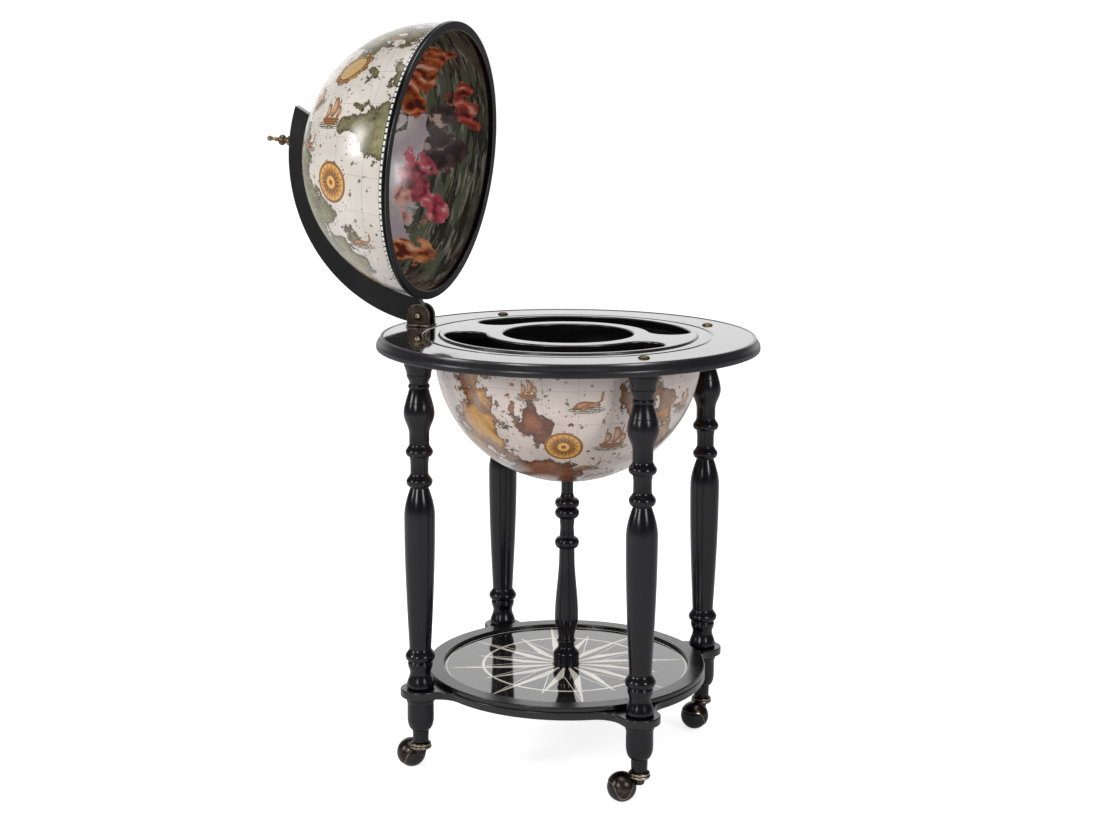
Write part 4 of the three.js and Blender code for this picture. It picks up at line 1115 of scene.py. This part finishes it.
def make_casters():
    centre, room, collar = Vector((BALL_OUT, 0, BALL)), 17.9, 13.6
    at_ball = Matrix.Translation(centre * MM)
    horn = [(radius * HORN, HORN_TOP - HORN_HEIGHT + rise * HORN_HEIGHT)
            for radius, rise in HORN_SHARES]
    hood = hood_shell(centre)
    horn = turned("horn", [*horn, (0, HORN_TOP)], Matrix(), 48, edge=0.3)
    ball_room = [(0, -room), *arc((0, 0), room, -90, 90, 40)[1:-1], (0, room)]
    ball_room = turned("room", ball_room, at_ball, edge=0)
    hood = carve(hood, carve(horn, ball_room, "DIFFERENCE"), "UNION")
    collar_room = [(0, HORN_TOP), (collar, HORN_TOP), (collar, 60), (0, 60)]
    hood = carve(hood, turned("room", collar_room, Matrix(), 48, edge=0), "DIFFERENCE")

    bore = math.degrees(math.acos(2.8 / BALL))
    tread = [(0, 8), (2.8, 8), *arc((0, 0), BALL, -bore, 90, 56)[:-1], (0, BALL)]
    tilt = Matrix.Rotation(math.radians(BALL_TILT), 4, "X")
    wheel = turned("wheel", tread, at_ball @ tilt, edge=0.3)
    stem = [(0, 25.1), (4, 25.1), (4, 29.8), *turning(STEM), (4, 37.2), (4, 57.2), (0, 57.2)]
    stem = turned("stem", stem, Matrix(), 48, edge=0.3)
    # The crests of the stem's beads get the brighter bronze: wear and a painted highlight.
    choose(stem, lambda spot, _: spot.xy.length > (12.95 if spot.z < 33.3 * MM else 12.3) * MM)

    for letter in CORNERS:
        spot = upright(f"foot_{letter}")
        out = middle(f"caster_{letter}_wheel") - spot.translation
        aim = joint(f"wheel_{letter}_spin")["axis"]
        turn = math.atan2(aim[0], -aim[1])
        if out.xy.dot(Vector((math.cos(turn), math.sin(turn)))) <= 0:
            turn += math.pi
        place = spot @ Matrix.Rotation(turn, 4, "Z")
        for kind, source, finish, slot, body in (
                ("hood", hood, (HOOD, WORN_AND_HIGHLIGHT), "antique_bronze", f"caster_{letter}"),
                ("wheel", wheel, (WHEEL,), "antique_bronze", f"wheel_{letter}"),
                ("stem", stem, (HOOD, WORN_AND_HIGHLIGHT), "brass", f"caster_{letter}")):
            piece = placed(f"ball_caster_{letter}_{kind}", source.data.copy())
            piece.data.transform(place)
            finished(piece, body, slot, finish, f"caster_{letter}_{kind}")
    for piece in (hood, wheel, stem):
        bpy.data.objects.remove(piece)


def finish_hidden():
    """Hidden pieces keep their CAD shape and get a finish."""
    finishes = {"bowl_shelf": SATIN, "bowl_screw": BRASS, "bracket_screw_a": BRONZE,
                "bracket_screw_b": BRONZE}
    for name, node in frame["nodes"].items():
        if not node.hide_render:
            node.data.materials.clear()
            node.data.materials.append(finishes.get(name, STEEL))


# Floor, lights and camera

def make_floor():
    floor = bpy.data.meshes.new("floor")
    floor.from_pydata([(-30, -30, 0), (30, -30, 0), (30, 30, 0), (-30, 30, 0)], [], [(0, 1, 2, 3)])
    placed("floor", floor)
    finish = Finish("pale floor", (0.82, 0.82, 0.82, 1), 0.9)
    ray = finish.add("ShaderNodeLightPath").outputs
    seen = finish.both(ray["Is Camera Ray"], 0.74)
    finish.shader.inputs["Emission Color"].default_value = (1, 1, 1, 1)
    finish.feed(finish.shader.inputs["Emission Strength"],
                finish.line(ray["Is Glossy Ray"], 0.04, seen))
    floor.materials.append(finish.material)


def make_surroundings():
    """Plain light all round. What is glossy mirrors a backdrop on the right and light overhead."""
    world = bpy.data.worlds.new("studio")
    bpy.context.scene.world = world
    world.use_nodes = True
    w = Wiring(world.node_tree)
    ray = w.add("ShaderNodeLightPath").outputs
    background = world.node_tree.nodes["Background"]
    background.inputs["Color"].default_value = (1, 1, 1, 1)
    place = w.add("ShaderNodeTexCoord").outputs["Generated"]
    backdrop = w.bridge(w.dot(place, (0.93, 0.32, 0.18)), 0.7, 0.93, 0.12, 1.0)
    overhead = w.bridge(w.parts(place)[2], 0.9, 0.97, 0.0, 4.0)
    lit = w.tint(ray["Is Glossy Ray"], (0.48, 0.48, 0.48, 1), w.number("ADD", backdrop, overhead))
    w.feed(background.inputs["Strength"], w.number("MAXIMUM", ray["Is Camera Ray"], lit))


def make_lamp(name, around, rise, size, power, mirrored=True):
    """A softbox that looks at the middle of the globe bar."""
    data = bpy.data.lights.new(name, "AREA")
    data.shape, data.size, data.size_y, data.energy = "RECTANGLE", size[0], size[1], power
    lamp = placed(name, data)
    rise = math.radians(rise)
    out = Vector((*polar(math.cos(rise), around), math.sin(rise)))
    lamp.location = Vector((0, 0, 0.5)) + out * 2.4
    lamp.rotation_mode = "QUATERNION"
    lamp.rotation_quaternion = out.to_track_quat("Z", "Y")
    lamp.visible_camera = False
    lamp.visible_glossy = mirrored


def make_camera():
    """The photograph's view, fitted to points of the object. The fit's own middle lies in front
    of the frame's and above it."""
    around, distance, height = math.radians(-70.992), 2313.3, 1047.1
    yaw, pitch, roll, focal = math.radians(0.557), math.radians(8.197), math.radians(0.261), 1897.9
    fit_ahead, fit_above, photo_width = 83.97, 172, 1100
    data = bpy.data.cameras.new("camera")
    data.sensor_fit, data.sensor_width = "HORIZONTAL", 36
    data.lens, data.shift_y, data.clip_end = 36 * focal / photo_width, -0.08, 100
    ahead = Vector((-math.sin(around + yaw), math.cos(around + yaw), 0))
    right, up = Vector((ahead.y, -ahead.x, 0)), Vector((0, 0, 1))
    look = ahead * math.cos(pitch) - up * math.sin(pitch)
    top = up * math.cos(pitch) + ahead * math.sin(pitch)
    side = right * math.cos(roll) + top * math.sin(roll)
    top = top * math.cos(roll) - right * math.sin(roll)
    spot = Vector((math.sin(around) * distance, -math.cos(around) * distance - fit_ahead,
                   height - fit_above)) * MM
    camera = placed("camera", data)
    camera.matrix_world = (Matrix.Translation(spot)
                           @ Matrix((side, top, -look)).transposed().to_4x4())
    bpy.context.scene.camera = camera


make_camera()
make_table()
make_plate()
make_bowl()
make_legs()
make_leg_screws()
make_tray()
make_rose()
make_hinge()
make_arm()
make_dome()
make_casters()
finish_hidden()
make_floor()
make_surroundings()
for name, around in (("left softbox", 130), ("middle softbox", 173), ("right softbox", 240)):
    make_lamp(name, around, 19, (0.4, 0.7), 13)
make_lamp("back softbox", 82, 30, (1.0, 0.8), 12, False)

bpy.context.scene.view_settings.view_transform = "Standard"
bpy.context.view_layer.update()
